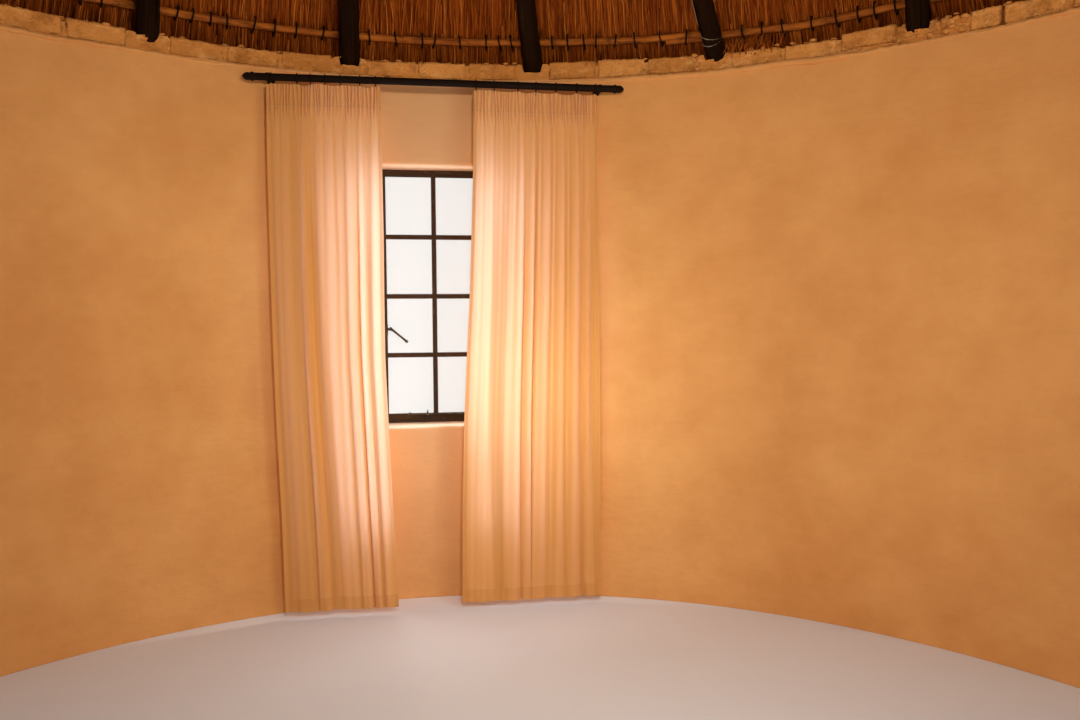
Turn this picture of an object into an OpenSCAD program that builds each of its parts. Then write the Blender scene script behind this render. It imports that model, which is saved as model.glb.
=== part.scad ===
// Six bays of a round thatched hut: the bay with the window and the bays beside it.
// Millimetres. The origin is on the ground under the middle of the window, at half the wall's
// thickness. +Y points out through the window, +X to the right as seen from inside, +Z up.
// Angles round the hut are measured at its centre, from +Y towards +X.

/* [Hut] */
// Radius of the inner face of the wall
hut_inner_r = 2700; // [2500:50:3000]
// Height of the plastered wall
wall_h = 2500; // [2400:10:2600]
// Thickness of the wall, one brick with plaster on both faces
wall_t = 270; // [250:10:300]
// Height of the bare brick course on top of the wall
course_h = 90; // [70:5:100]

/* [Window] */
// Width of the opening and of the steel frame
window_w = 533; // [500:1:560]
// Height of the opening and of the steel frame
window_h = 1245; // [1100:5:1300]
// Height of the opening's foot above the ground
sill_h = 850; // [750:10:950]
// How far the frame stands back from the inner face
reveal_d = 130; // [110:5:150]
// Radius of the plaster edge round the opening
arris_r = 25; // [10:1:35]

/* [Roof] */
// Slope of the roof
roof_slope = 45; // [42:1:48]
// Diameter of a rafter pole where it crosses the wall's inner face
rafter_d = 88; // [80:1:100]
// How much a pole tapers from its eaves end to its top end
rafter_taper = 16; // [0:2:30]
// Height of a rafter's underside over the plaster at the inner face
rafter_clear = 62; // [50:2:70]
// Diameter of the laths
lath_d = 38; // [30:1:45]
// Distance between laths, measured up the slope
lath_spacing = 310; // [280:5:340]
// Thickness of the thatch
thatch_t = 190; // [150:5:220]
// How far the butts of each outer course stand over the course below
thatch_butt = 14; // [6:2:20]
// How far the thatch reaches over the outer face
eaves_out = 300; // [250:10:320]
// How far the roof runs inwards from the inner face
roof_in = 800; // [700:10:850]

/* [Curtains] */
// Diameter of the curtain pole
pole_d = 32; // [25:1:38]
// Height of the pole's axis
pole_z = 2435; // [2400:5:2450]
// Distance of the pole's axis from the centre of the hut
pole_out = 2510; // [2490:5:2520]
// Length of the pole without its end knobs
pole_l = 1596; // [1500:2:1700]
// Wire thickness of a curtain ring
ring_wire = 5; // [3:1:6]
// Height of the curtains' hem above the ground
hem_z = 30; // [10:5:60]
// Depth of the curtains' folds, front to back
fold_depth = 56; // [30:2:64]

/* [Hidden] */
wall_bays = ["wall_bay_1", "wall_bay_2", "wall_bay_4", "wall_bay_5", "wall_bay_6"];

$fn = 48;
// A cutter reaches this far past the face that it cuts
over = 1;

// Plan of the bays
bay_count = 6;
window_bay = 3;
rafter_pitch = 18;
// The window's middle is this far from the middle of its bay
window_offset = 1;
// The wall and the roof run on past the end rafters by this much
end_margin = 2.5;
first_rafter = window_offset - rafter_pitch * (window_bay - 0.5);
left_end = first_rafter - end_margin;
right_end = first_rafter + bay_count * rafter_pitch + end_margin;
// How far each pole leans sideways from the line to the hut's centre, its top end to the left
rafter_lean = [0, 8, 4, 7, 12, -9, 0];

hut_outer_r = hut_inner_r + wall_t;
hut_mid_r = hut_inner_r + wall_t / 2;

// Heights at the inner face: the surface that the laths lie on, and the thatch over them
lath_face_z = wall_h + rafter_clear + rafter_d / cos(roof_slope);
thatch_face_z = lath_face_z + lath_d / cos(roof_slope);
// Gap between the wall's sloped outer shoulder and the laths
shoulder_gap = 6;
shoulder_h = wall_t * tan(roof_slope) - (lath_face_z - wall_h) + shoulder_gap;
shoulder_w = shoulder_h / tan(roof_slope);

roof_top_r = hut_inner_r - roof_in;
eaves_r = hut_outer_r + eaves_out;
// The rafters stop short of the thatch's edge
rafter_end_r = eaves_r - 40;
thatch_courses = 9;
// Mortar bed between a rafter and the wall
bedding = 1;

// Distance of each lath from the centre of the hut, from the top one to the one at the eaves.
// The fourth lies over the wall's inner face
lath_step = lath_spacing * cos(roof_slope);
wall_lath_r = hut_inner_r + 35;
lath_rs = [for (k = [-3 : 2]) wall_lath_r + k * lath_step];

// Brick course: set back from the plaster, as deep as a brick is wide
course_setback = 10;
course_d = 120;

// Steel sections of the window. Depths are measured outwards from the frame's inner face
window_y = reveal_d - wall_t / 2;
steel_t = 4;
frame_sight = 16;
frame_web_in = 7;
frame_d = 28;
leaf_lap = 5;
leaf_web_in = 14;
leaf_sight = 34;
leaf_bottom_extra = 12;
leaf_y = 5;
leaf_d = 27;
glass_t = 3;
glass_y = 10;

// Sill on the outside
outer_sill_h = 60;
outer_sill_fall = 18;
outer_sill_out = 35;

// Curtain pole, rings, brackets and knobs
pole_y = pole_out - hut_mid_r;
pole_mid = 26;
ring_r = 21;
// A ring hangs from the pole with this much clear of it
ring_clear = 0.2;
ring_z = pole_z + (pole_d + ring_wire) / 2 - ring_r + ring_clear;
ring_count = 7;
bracket_xs = [-744, 790];
left_ring_span = [-707, -257];
right_ring_span = [191, 745];

// Curtains: [left edge, width] at the heading and at the hem
left_heading = [-727, 492];
left_hem = [-704, 522];
right_heading = [180, 572];
right_hem = [104, 668];
// The heading hangs this far under the rings
heading_drop = 4;
curtain_top = ring_z - ring_r - ring_wire / 2 - heading_drop;
curtain_t = 20;
fold_steps = 10;

// Angle of a rafter, counted from 1
function rafter_angle(k) = first_rafter + (k - 1) * rafter_pitch;

// Point on a pole's middle line, in the frame of its bay, u beyond the inner face
function pole_point(lean, u, d) = let (
    x = u * tan(lean),
    y = hut_inner_r + u,
    r = sqrt(x * x + y * y))
    [x, y, lath_face_z + (hut_inner_r - r) * tan(roof_slope) - d / 2 / cos(roof_slope)];

// Places a shape that is built about the hut's centre with +Y pointing outwards
module at_angle(angle) {
    translate([0, -hut_mid_r, 0]) rotate([0, 0, -angle]) children();
}

// Sweeps a profile of [distance from the centre, height] round the hut
module round_hut(from, to) {
    at_angle(to) rotate([0, 0, 90]) rotate_extrude(angle = to - from, $fn = 240) children();
}

// Turns +Z to run from one point to another, with -X as the upper side
module from_to(a, b) {
    run = b - a;
    translate(a) rotate([0, acos(run[2] / norm(run)), atan2(run[1], run[0])]) children();
}

// Middle line of a rafter, from its top end to its eaves end, run on past both cuts
rafter_top_d = rafter_d - rafter_taper / 2;
rafter_butt_d = rafter_d + rafter_taper / 2;
rafter_run_on = 100;
function rafter_top(k) = pole_point(rafter_lean[k - 1], -roof_in - rafter_run_on, rafter_top_d);
function rafter_butt(k) =
    pole_point(rafter_lean[k - 1], rafter_end_r - hut_inner_r + rafter_run_on, rafter_butt_d);

module rafter_pole(k, extra = 0) {
    at_angle(rafter_angle(k)) from_to(rafter_top(k), rafter_butt(k))
        cylinder(
            h = norm(rafter_butt(k) - rafter_top(k)),
            d1 = rafter_top_d + 2 * extra,
            d2 = rafter_butt_d + 2 * extra);
}

// The trough that a rafter lies in, open to the top
module rafter_trough(k) {
    wide = rafter_butt_d + 2 * bedding;
    rafter_pole(k, bedding);
    at_angle(rafter_angle(k)) from_to(rafter_top(k), rafter_butt(k))
        translate([-2 * rafter_d, -wide / 2, 0])
            cube([2 * rafter_d, wide, norm(rafter_butt(k) - rafter_top(k))]);
}

// The troughs that the rafters on both sides of a bay leave in the wall
module rafter_pockets(bay) {
    rafter_trough(bay);
    rafter_trough(bay + 1);
}

function bay_from(bay) = bay == 1 ? left_end : rafter_angle(bay);
function bay_to(bay) = bay == bay_count ? right_end : rafter_angle(bay + 1);

module wall_profile() {
    polygon([
        [hut_inner_r, 0],
        [hut_outer_r, 0],
        [hut_outer_r, wall_h - shoulder_h],
        [hut_outer_r - shoulder_w, wall_h],
        [hut_inner_r, wall_h]]);
}

module wall_bay(bay) {
    color("peachpuff") difference() {
        round_hut(bay_from(bay), bay_to(bay)) wall_profile();
        rafter_pockets(bay);
    }
}

// What is left of a square corner once a quarter round of radius r is taken off it
module corner_waste(r) {
    difference() {
        translate([-over, -over]) square(r + over);
        translate([r, r]) circle(r);
    }
}

// Wall beside the window, from one angle to another, cut off flat at the opening
module wall_beside_window(from, to, side) {
    edge_x = side * window_w / 2;
    far_x = side * (window_w / 2 + arris_r);
    face_y = -hut_mid_r + sqrt(hut_inner_r * hut_inner_r - far_x * far_x);
    reach = 1000;
    color("peachpuff") difference() {
        round_hut(from, to) wall_profile();
        translate([side < 0 ? edge_x : edge_x - reach, -reach / 2, -over])
            cube([reach, reach, wall_h + 2 * over]);
        translate([edge_x, face_y, sill_h]) mirror([side < 0 ? 1 : 0, 0, 0])
            linear_extrude(window_h) corner_waste(arris_r);
        rafter_pockets(window_bay);
    }
}

module wall_left_of_window() {
    wall_beside_window(bay_from(window_bay), 0, -1);
}

module wall_right_of_window() {
    wall_beside_window(0, bay_to(window_bay), 1);
}

// Wall between the window's sides, cut from the round wall
module wall_strip() {
    half_angle = 8;
    reach = 1000;
    intersection() {
        round_hut(-half_angle, half_angle) children();
        translate([-window_w / 2, -reach / 2, -over]) cube([window_w, reach, wall_h + 2 * over]);
    }
}

module wall_below_window() {
    color("peachpuff") difference() {
        wall_strip() difference() {
            translate([hut_inner_r, 0]) square([wall_t, sill_h]);
            translate([hut_inner_r, sill_h]) mirror([0, 1]) corner_waste(arris_r);
        }
        translate([-window_w, window_y + frame_d, sill_h - outer_sill_h])
            cube([2 * window_w, wall_t, outer_sill_h + over]);
    }
}

module wall_above_window() {
    head_z = sill_h + window_h;
    color("peachpuff") wall_strip() intersection() {
        wall_profile();
        difference() {
            translate([hut_inner_r - over, head_z]) square([wall_t + 2 * over, wall_h]);
            translate([hut_inner_r, head_z]) corner_waste(arris_r);
        }
    }
}

// Sloping sill outside the frame, with a drip under its nose
module outer_sill() {
    back = window_y + frame_d;
    face = wall_t / 2;
    nose = face + outer_sill_out;
    nose_h = 28;
    drip_r = 5;
    color("peachpuff") translate([-window_w / 2, 0, 0]) rotate([90, 0, 90])
        linear_extrude(window_w) difference() {
            polygon([
                [back, sill_h - outer_sill_h],
                [face, sill_h - outer_sill_h],
                [face, sill_h - outer_sill_fall - nose_h],
                [nose, sill_h - outer_sill_fall - nose_h],
                [nose, sill_h - outer_sill_fall],
                [back, sill_h]]);
            translate([nose - 3 * drip_r, sill_h - outer_sill_fall - nose_h]) circle(drip_r);
        }
}

// One bay of the bare brick course between and under the rafters
module brick_course(bay) {
    color("wheat") difference() {
        round_hut(bay_from(bay), bay_to(bay))
            translate([hut_inner_r + course_setback, wall_h]) square([course_d, course_h]);
        rafter_pockets(bay);
    }
}

// Rafter pole with plumb cuts at both ends
module rafter(k) {
    reach = 1000;
    color([0.16, 0.1, 0.07]) intersection() {
        rafter_pole(k);
        at_angle(rafter_angle(k)) translate([-reach / 2, roof_top_r, 0])
            cube([reach, rafter_end_r - roof_top_r, 2 * wall_h]);
    }
}

// Thin pole bent round the hut, lying on the rafters
module lath(k) {
    r = lath_rs[k - 1];
    height = lath_face_z + (hut_inner_r - r) * tan(roof_slope) + lath_d / 2 / cos(roof_slope);
    color([0.6, 0.42, 0.25]) round_hut(left_end, right_end)
        translate([r, height]) circle(d = lath_d, $fn = 24);
}

// Point in the thatch's section: down the slope from the top of its underside, and off the slope
function thatch_point(down, off) = [
    roof_top_r + down * cos(roof_slope) + off * sin(roof_slope),
    thatch_face_z + (hut_inner_r - roof_top_r) * tan(roof_slope)
        - down * sin(roof_slope) + off * cos(roof_slope)];

// One bay of thatch, cut plumb at its top and square to the slope at the eaves. Outside, each
// course swells towards its butts and steps down to the next
module thatch(bay) {
    eaves_down = (eaves_r - roof_top_r) / cos(roof_slope);
    low_t = thatch_t - thatch_butt;
    top_down = -low_t * tan(roof_slope);
    step = (eaves_down - top_down) / thatch_courses;
    courses = [for (k = [thatch_courses : -1 : 1]) each [
        thatch_point(top_down + k * step, thatch_t),
        thatch_point(top_down + (k - 1) * step, low_t)]];
    color([0.55, 0.38, 0.2]) round_hut(bay_from(bay), bay_to(bay))
        polygon(concat([thatch_point(0, 0), thatch_point(eaves_down, 0)], courses));
}

// Upright rectangular ring of steel, set in from the opening's edge, at a depth from the frame's face
module steel_ring(inset, width, depth_from, depth, bottom_extra = 0) {
    w = window_w - 2 * inset;
    h = window_h - 2 * inset;
    translate([-w / 2, window_y + depth_from, sill_h + inset]) difference() {
        cube([w, depth, h]);
        translate([width, -over, width + bottom_extra])
            cube([w - 2 * width, depth + 2 * over, h - 2 * width - bottom_extra]);
    }
}

// Fixed frame: a flange towards the room, a web, and a flange against the masonry
module window_frame() {
    color([0.13, 0.11, 0.1]) {
        steel_ring(0, frame_sight, 0, steel_t);
        steel_ring(frame_web_in, steel_t, 0, frame_d);
        steel_ring(0, frame_web_in + steel_t, frame_d - steel_t, steel_t);
    }
}

// Opening leaf: its outer flange laps over the fixed frame, its inner flange carries the glass
module casement_leaf() {
    outer_flange = leaf_web_in + steel_t - leaf_lap;
    inner_flange = leaf_sight - leaf_web_in;
    color([0.16, 0.13, 0.11]) {
        steel_ring(leaf_web_in, inner_flange, leaf_y, steel_t, leaf_bottom_extra);
        steel_ring(leaf_web_in, steel_t, leaf_y, leaf_d);
        steel_ring(leaf_lap, outer_flange, leaf_y + leaf_d - steel_t + 0.5, steel_t);
    }
}

module window_glass() {
    inset = leaf_web_in + steel_t + 1;
    color([0.8, 0.85, 0.85, 0.5])
        translate([-window_w / 2 + inset, window_y + glass_y, sill_h + inset])
            cube([window_w - 2 * inset, glass_t, window_h - 2 * inset]);
}

// Fastener on the left stile: a plate, a round boss, a drooping lever with a round end, and the
// tongue that closes behind the fixed frame
module casement_handle() {
    plate = [20, 6, 56];
    boss_d = 14;
    boss_l = 21;
    lever_l = 110;
    lever_h = 10;
    lever_t = 8;
    lever_end_d = 15;
    droop = 32;
    tongue_reach = 24;
    tongue_h = 10;
    pivot_x = leaf_web_in + 12 - window_w / 2;
    pivot_z = sill_h + 464;
    plate_y = window_y + leaf_y - plate[1];
    color([0.2, 0.16, 0.12]) {
        translate([pivot_x - plate[0] / 2, plate_y, pivot_z - plate[2] / 2]) cube(plate);
        translate([pivot_x, plate_y, pivot_z]) rotate([90, 0, 0]) cylinder(h = boss_l, d = boss_d);
        translate([pivot_x, plate_y - boss_l, pivot_z]) rotate([0, droop, 0]) {
            translate([0, -lever_t / 2, -lever_h / 2]) cube([lever_l, lever_t, lever_h]);
            translate([lever_l, lever_t / 2, 0]) rotate([90, 0, 0])
                cylinder(h = lever_t, d = lever_end_d);
        }
        translate([pivot_x - tongue_reach, plate_y - plate[1], pivot_z - tongue_h / 2])
            cube([tongue_reach + 2, plate[1], tongue_h]);
    }
}

// Peg stay along the bottom rail: the bar with its row of holes, the peg through one of them, the
// pivot at the bar's end, and the two lugs that carry them
module casement_stay() {
    bar = [286, 14, 5];
    bar_x = -140;
    bar_y = window_y - 12;
    bar_z = sill_h + 40;
    hole_count = 5;
    hole_step = 40;
    hole_d = 6;
    first_hole = 58;
    pivot_d = 12;
    pivot_h = 8;
    pivot_at = 12;
    peg_d = 5;
    peg_h = 34;
    peg_foot = 12;
    peg_at = first_hole + hole_step;
    lug_d = 23;
    lug_t = 6;
    peg_lug_l = 28;
    end_lug_l = 20;
    end_lug_at = bar[0] - end_lug_l - 4;
    color([0.2, 0.16, 0.12]) translate([bar_x, bar_y, bar_z]) {
        difference() {
            translate([0, -bar[1] / 2, 0]) cube(bar);
            for (k = [0 : hole_count - 1])
                translate([first_hole + k * hole_step, 0, -over])
                    cylinder(h = bar[2] + 2 * over, d = hole_d);
        }
        translate([pivot_at, 0, bar[2]]) cylinder(h = pivot_h, d = pivot_d);
        translate([peg_at, 0, -peg_foot]) cylinder(h = peg_h, d = peg_d);
        translate([peg_at - peg_lug_l / 2, -lug_t, -peg_foot - lug_t]) cube([peg_lug_l, lug_d, lug_t]);
        translate([end_lug_at, -lug_t, -lug_t]) cube([end_lug_l, lug_d, lug_t]);
    }
}

// Knuckles and leaves of the two hinges on the outside, at the right jamb
module casement_hinges() {
    knuckle_d = 12;
    knuckle_l = 60;
    end_gap = 150;
    plate = [20, 3, 52];
    hinge_x = window_w / 2 - knuckle_d;
    hinge_y = window_y + frame_d + 10;
    plate_up = (knuckle_l - plate[2]) / 2;
    color([0.2, 0.16, 0.12])
        for (z = [sill_h + end_gap, sill_h + window_h - end_gap - knuckle_l])
            translate([hinge_x, hinge_y, z]) {
                cylinder(h = knuckle_l, d = knuckle_d);
                translate([-plate[0], -knuckle_d / 2, plate_up]) cube(plate);
            }
}

module along_pole(x) {
    translate([x, pole_y, pole_z]) rotate([0, 90, 0]) children();
}

module curtain_pole() {
    color([0.1, 0.07, 0.05]) along_pole(pole_mid - pole_l / 2) cylinder(h = pole_l, d = pole_d);
}

// Turned end knob: collar, neck, ball and tip
module knob() {
    collar_r = 18.5;
    collar_l = 8;
    neck_r = 11.5;
    ball_r = 20;
    tip_r = 5;
    tip_l = 5;
    ball_at = collar_l + ball_r + 2;
    rotate_extrude() difference() {
        union() {
            square([collar_r, collar_l]);
            square([neck_r, ball_at]);
            translate([0, ball_at]) circle(ball_r);
            square([tip_r, ball_at + ball_r + tip_l]);
        }
        translate([-2 * ball_r, -ball_r]) square([2 * ball_r, 4 * ball_r + ball_at]);
    }
}

module pole_knobs() {
    color([0.1, 0.07, 0.05]) {
        along_pole(pole_mid + pole_l / 2) knob();
        along_pole(pole_mid - pole_l / 2) mirror([0, 0, 1]) knob();
    }
}

// Bracket: a round plate on the wall, an arm and the cup that the pole lies in
module bracket(x) {
    angle = asin(x / hut_inner_r);
    wall_y = -hut_mid_r + sqrt(hut_inner_r * hut_inner_r - x * x);
    plate_d = 46;
    plate_t = 6;
    arm_d = 12;
    cup_l = 18;
    cup_t = 4;
    fit = 0.2;
    arm_from = pole_y + (pole_d + cup_t) / 2;
    translate([x, wall_y, pole_z]) rotate([0, 0, -angle]) rotate([90, 0, 0])
        cylinder(h = plate_t, d = plate_d);
    translate([x, arm_from, pole_z]) rotate([-90, 0, 0])
        cylinder(h = wall_y - arm_from - 1, d = arm_d);
    along_pole(x - cup_l / 2) difference() {
        cylinder(h = cup_l, d = pole_d + 2 * cup_t);
        translate([0, 0, -over]) cylinder(h = cup_l + 2 * over, d = pole_d + 2 * fit);
    }
}

module pole_brackets() {
    color([0.1, 0.07, 0.05]) for (x = bracket_xs) bracket(x);
}

module ring_row(span) {
    for (k = [0 : ring_count - 1])
        translate([span[0] + k * (span[1] - span[0]) / (ring_count - 1), pole_y, ring_z])
            rotate([0, 90, 0]) rotate_extrude() translate([ring_r, 0]) circle(d = ring_wire, $fn = 16);
}

module curtain_rings() {
    color([0.08, 0.06, 0.05]) {
        ring_row(left_ring_span);
        ring_row(right_ring_span);
    }
}

// Gathered curtain: a wavy band in plan, wider at its hem than at its heading
module curtain(heading, hem) {
    wide = heading[1];
    flare = hem[1] / wide;
    // The hem grows out of the heading about this line
    fixed_x = (heading[0] * hem[1] - hem[0] * wide) / (hem[1] - wide);
    steps = ring_count * fold_steps;
    wave = (fold_depth - curtain_t) / 2;
    front = [for (i = [0 : steps])
        [heading[0] + wide * i / steps, wave * cos(360 * i / fold_steps) - curtain_t / 2]];
    back = [for (i = [steps : -1 : 0])
        [heading[0] + wide * i / steps, wave * cos(360 * i / fold_steps) + curtain_t / 2]];
    color("antiquewhite")
        translate([fixed_x, pole_y, curtain_top]) mirror([0, 0, 1])
            linear_extrude(curtain_top - hem_z, scale = [flare, 1], slices = 1)
                translate([-fixed_x, 0]) polygon(concat(front, back));
}

wall_bay(1);  // wall_bay_1
wall_bay(2);  // wall_bay_2
wall_bay(4);  // wall_bay_4
wall_bay(5);  // wall_bay_5
wall_bay(6);  // wall_bay_6
wall_left_of_window();
wall_below_window();
wall_above_window();
wall_right_of_window();
outer_sill();
for (k = [1 : bay_count]) {
    brick_course(k);
    thatch(k);
}
for (k = [1 : bay_count + 1])
    rafter(k);
for (k = [1 : len(lath_rs)])
    lath(k);
window_frame();
casement_leaf();
window_glass();
casement_handle();
casement_stay();
casement_hinges();
curtain_pole();
pole_knobs();
pole_brackets();
curtain_rings();
curtain(left_heading, left_hem);  // curtain_left
curtain(right_heading, right_hem);  // curtain_right
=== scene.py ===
# The looks of six bays of a round thatched hut: limewashed plaster, a bare brick course, pole
# rafters, tied laths, reed thatch, a steel casement, and two linen curtains on a pole.
# Metres. The origin is on the ground under the middle of the window, at half the wall's
# thickness. +Y points out through the window, +X to the right as seen from inside, +Z up.
# Angles are in degrees, measured at the hut's centre from +Y towards +X.
import math
import random
from contextlib import contextmanager
from dataclasses import dataclass

import bmesh
import bpy
import numpy as np
from mathutils import Euler, Matrix, Vector


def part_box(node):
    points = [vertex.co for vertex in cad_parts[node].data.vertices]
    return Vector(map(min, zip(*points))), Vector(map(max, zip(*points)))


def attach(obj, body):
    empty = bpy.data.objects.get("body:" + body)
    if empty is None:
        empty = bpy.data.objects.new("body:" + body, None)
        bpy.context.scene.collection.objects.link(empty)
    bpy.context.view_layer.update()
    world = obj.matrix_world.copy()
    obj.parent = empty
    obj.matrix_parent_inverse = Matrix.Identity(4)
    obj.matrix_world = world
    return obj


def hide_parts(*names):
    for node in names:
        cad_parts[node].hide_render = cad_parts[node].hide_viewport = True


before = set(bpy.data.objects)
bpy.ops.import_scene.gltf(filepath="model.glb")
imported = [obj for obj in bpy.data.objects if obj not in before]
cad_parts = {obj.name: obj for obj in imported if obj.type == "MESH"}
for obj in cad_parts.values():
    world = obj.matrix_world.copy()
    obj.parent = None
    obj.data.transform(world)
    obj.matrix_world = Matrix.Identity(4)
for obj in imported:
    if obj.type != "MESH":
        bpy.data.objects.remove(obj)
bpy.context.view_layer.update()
STRAIGHT_UP = Vector((0, 0, 1))
# Points closer than this become one where a turned shape closes
WELD = 0.00001

# Plan of the hut
HUB = Vector((0, -2.835, 0))
INNER_R = 2.70
OUTER_R = 2.97
LEFT_END = -46.5
RIGHT_END = 66.5
FIRST_RAFTER = -44
RAFTER_PITCH = 18
SIXTH_RAFTER = FIRST_RAFTER + 5 * RAFTER_PITCH
BAYS = 6
RAFTER_LEANS = [0, 8, 4, 7, 12, -9, 0]

# Wall
WALL_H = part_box("wall_bay_2")[1].z
WALL_NODES = ["wall_bay_1", "wall_bay_2", "wall_left_of_window", "wall_below_window",
              "wall_above_window", "wall_right_of_window", "wall_bay_4", "wall_bay_5", "wall_bay_6"]
PLASTER_STEP = 0.036

# Bare brick course
COURSE_R = INNER_R + 0.010
COURSE_D = 0.120
COURSE_H = 0.090
BRICK_L = 0.222
BRICKS_A_BAY = 3
JOINT = 0.012
# Degrees by which the lip, the mortar and the reeds stop short of the wall's cut ends
END_GAP = 0.05

# Window
FRAME_LOW, FRAME_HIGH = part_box("window_frame")
WINDOW_W = FRAME_HIGH.x - FRAME_LOW.x
SILL_Z = FRAME_LOW.z
HEAD_Z = FRAME_HIGH.z
FRAME_Y = FRAME_LOW.y
GLASS_LOW, GLASS_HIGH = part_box("window_glass")
# The leaf's bottom rail stands this much further up over the glass than its other rails
RAIL_MORE = 0.012

# Roof
RAFTER_D = 0.088
RAFTER_TAPER = 0.016
RAFTER_CLEAR = 0.062
RAFTER_END_R = 3.23
# Height of the mortar in front of each rafter's foot
FOOT_ZS = [2.552, 2.564, 2.545, 2.541, 2.553, 2.553, 2.552]
# The bricks stop this far from the middle of a rafter, and mortar fills the rest
FOOT_GAP = 0.078
# Beyond the sixth rafter: rubble, a half brick, then a joint with no mortar in it
RUBBLE_L = 0.105
HALF_BRICK = 0.112
TO_OPEN_JOINT = FOOT_GAP + RUBBLE_L + JOINT + HALF_BRICK + JOINT / 2
OPEN_JOINT = SIXTH_RAFTER + math.degrees(TO_OPEN_JOINT / COURSE_R)
LATH_D = 0.038
LATH_SPACING = 0.310
ROOF_TOP_R = 1.90
EAVES_R = 3.27
THATCH_T = 0.190
THATCH_BUTT = 0.014
THATCH_COURSES = 9
SLOPE = math.radians(45)
LATH_FACE = WALL_H + RAFTER_CLEAR + RAFTER_D / math.cos(SLOPE)
THATCH_FACE = LATH_FACE + LATH_D / math.cos(SLOPE)
# The wall's outer top edge is sloped off under the laths
SHOULDER = OUTER_R - INNER_R - (LATH_FACE - WALL_H) + 0.006
LATH_RS = [INNER_R + 0.035 + k * LATH_SPACING * math.cos(SLOPE) for k in range(-3, 3)]
WALL_LATH = 3
# How far up the slope the lath over the wall's inner face strays, at angles round the hut
STRAY_ANGLES = [-25, -9, 9, 16, 25, 30, 36, 44]
STRAYS = [0.011, 0.009, 0.007, 0.006, -0.006, -0.012, -0.018, -0.005]
# The outer coat, down the slope from the top of the thatch's underside
EAVES_DOWN = (EAVES_R - ROOF_TOP_R) / math.cos(SLOPE)
COAT_TOP = -(THATCH_T - THATCH_BUTT) * math.tan(SLOPE)
COAT_STEP = (EAVES_DOWN - COAT_TOP) / THATCH_COURSES

# Curtains
POLE_Y = -0.325
POLE_Z = 2.435
POLE_D = 0.032


# Places on the hut

def on_hut(angle, r, z):
    """Point at an angle round the hut, a distance from its centre and a height"""
    turn = math.radians(angle)
    return HUB + Vector((r * math.sin(turn), r * math.cos(turn), z))


def angle_of(point):
    return math.degrees(math.atan2(point.x - HUB.x, point.y - HUB.y))


def reach_of(point):
    """Distance from the hut's centre, in plan"""
    return math.hypot(point.x - HUB.x, point.y - HUB.y)


def outwards(angle):
    """Level direction out of the hut at an angle"""
    turn = math.radians(angle)
    return Vector((math.sin(turn), math.cos(turn), 0))


def along_round(angle):
    """Level direction round the hut at an angle, towards +X"""
    turn = math.radians(angle)
    return Vector((math.cos(turn), -math.sin(turn), 0))


def roof_z(face_z, r):
    """Height of a face of the roof at a distance from the centre, from its height at the wall"""
    return face_z + (INNER_R - r) * math.tan(SLOPE)


def down_slope(angle):
    return outwards(angle) * math.cos(SLOPE) - STRAIGHT_UP * math.sin(SLOPE)


def off_slope(angle):
    """Direction square to the roof, out of its upper side"""
    return outwards(angle) * math.sin(SLOPE) + STRAIGHT_UP * math.cos(SLOPE)


def bay_ends(bay):
    """Angles between which the roof over a bay runs"""
    low = LEFT_END if bay == 1 else FIRST_RAFTER + (bay - 1) * RAFTER_PITCH
    high = RIGHT_END if bay == BAYS else FIRST_RAFTER + bay * RAFTER_PITCH
    return low, high


def in_thatch(angle, down, off):
    """Point down the slope from the top of the thatch's underside, and off it"""
    top = on_hut(angle, ROOF_TOP_R, roof_z(THATCH_FACE, ROOF_TOP_R))
    return top + down_slope(angle) * down + off_slope(angle) * off


# Ways of working a mesh

def alone(piece):
    """Makes a piece the only selected one, and the active one"""
    bpy.ops.object.select_all(action="DESELECT")
    piece.select_set(True)
    bpy.context.view_layer.objects.active = piece


def named(name):
    """The piece that was just made, under its own name"""
    piece = bpy.context.object
    piece.name = name
    piece.data.name = name
    return piece


def added(name, primitive, **settings):
    """A primitive under its own name"""
    bpy.ops.object.select_all(action="DESELECT")
    primitive(**settings)
    return named(name)


@contextmanager
def editing(piece):
    alone(piece)
    bpy.ops.object.mode_set(mode="EDIT")
    yield
    bpy.ops.object.mode_set(mode="OBJECT")


def pick(piece, kind, rule):
    """Selects, in edit mode, just the points, edges or faces that a rule picks"""
    bpy.ops.mesh.select_mode(type=kind)
    bpy.ops.mesh.select_all(action="DESELECT")
    mesh = bmesh.from_edit_mesh(piece.data)
    for part in {"VERT": mesh.verts, "EDGE": mesh.edges, "FACE": mesh.faces}[kind]:
        if rule(part):
            part.select_set(True)
    bmesh.update_edit_mesh(piece.data)


def outward(weld=0):
    """Turns all faces outwards, in edit mode, once points closer than a weld are one"""
    bpy.ops.mesh.select_all(action="SELECT")
    if weld:
        bpy.ops.mesh.remove_doubles(threshold=weld)
    bpy.ops.mesh.normals_make_consistent(inside=False)


def cut_across(piece, axis, least, cuts):
    """Divides the edges that run further than least along an axis, in edit mode"""
    pick(piece, "EDGE", lambda edge: abs(edge.verts[0].co[axis] - edge.verts[1].co[axis]) > least)
    bpy.ops.mesh.subdivide(number_cuts=cuts)


def settle(piece):
    """Puts a piece's place, turn and size into its mesh"""
    alone(piece)
    bpy.ops.object.transform_apply(location=True, rotation=True, scale=True)
    return piece


def pointed(thing, place, toward, axis="Z"):
    """Sets a thing at a place with one of its axes pointing along a direction"""
    thing.location = place
    thing.rotation_mode = "QUATERNION"
    thing.rotation_quaternion = Vector(toward).to_track_quat(axis, "Y")


def joined(name, pieces):
    """Several pieces as one mesh"""
    alone(pieces[0])
    for piece in pieces:
        piece.select_set(True)
    bpy.ops.object.join()
    return named(name)


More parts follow.
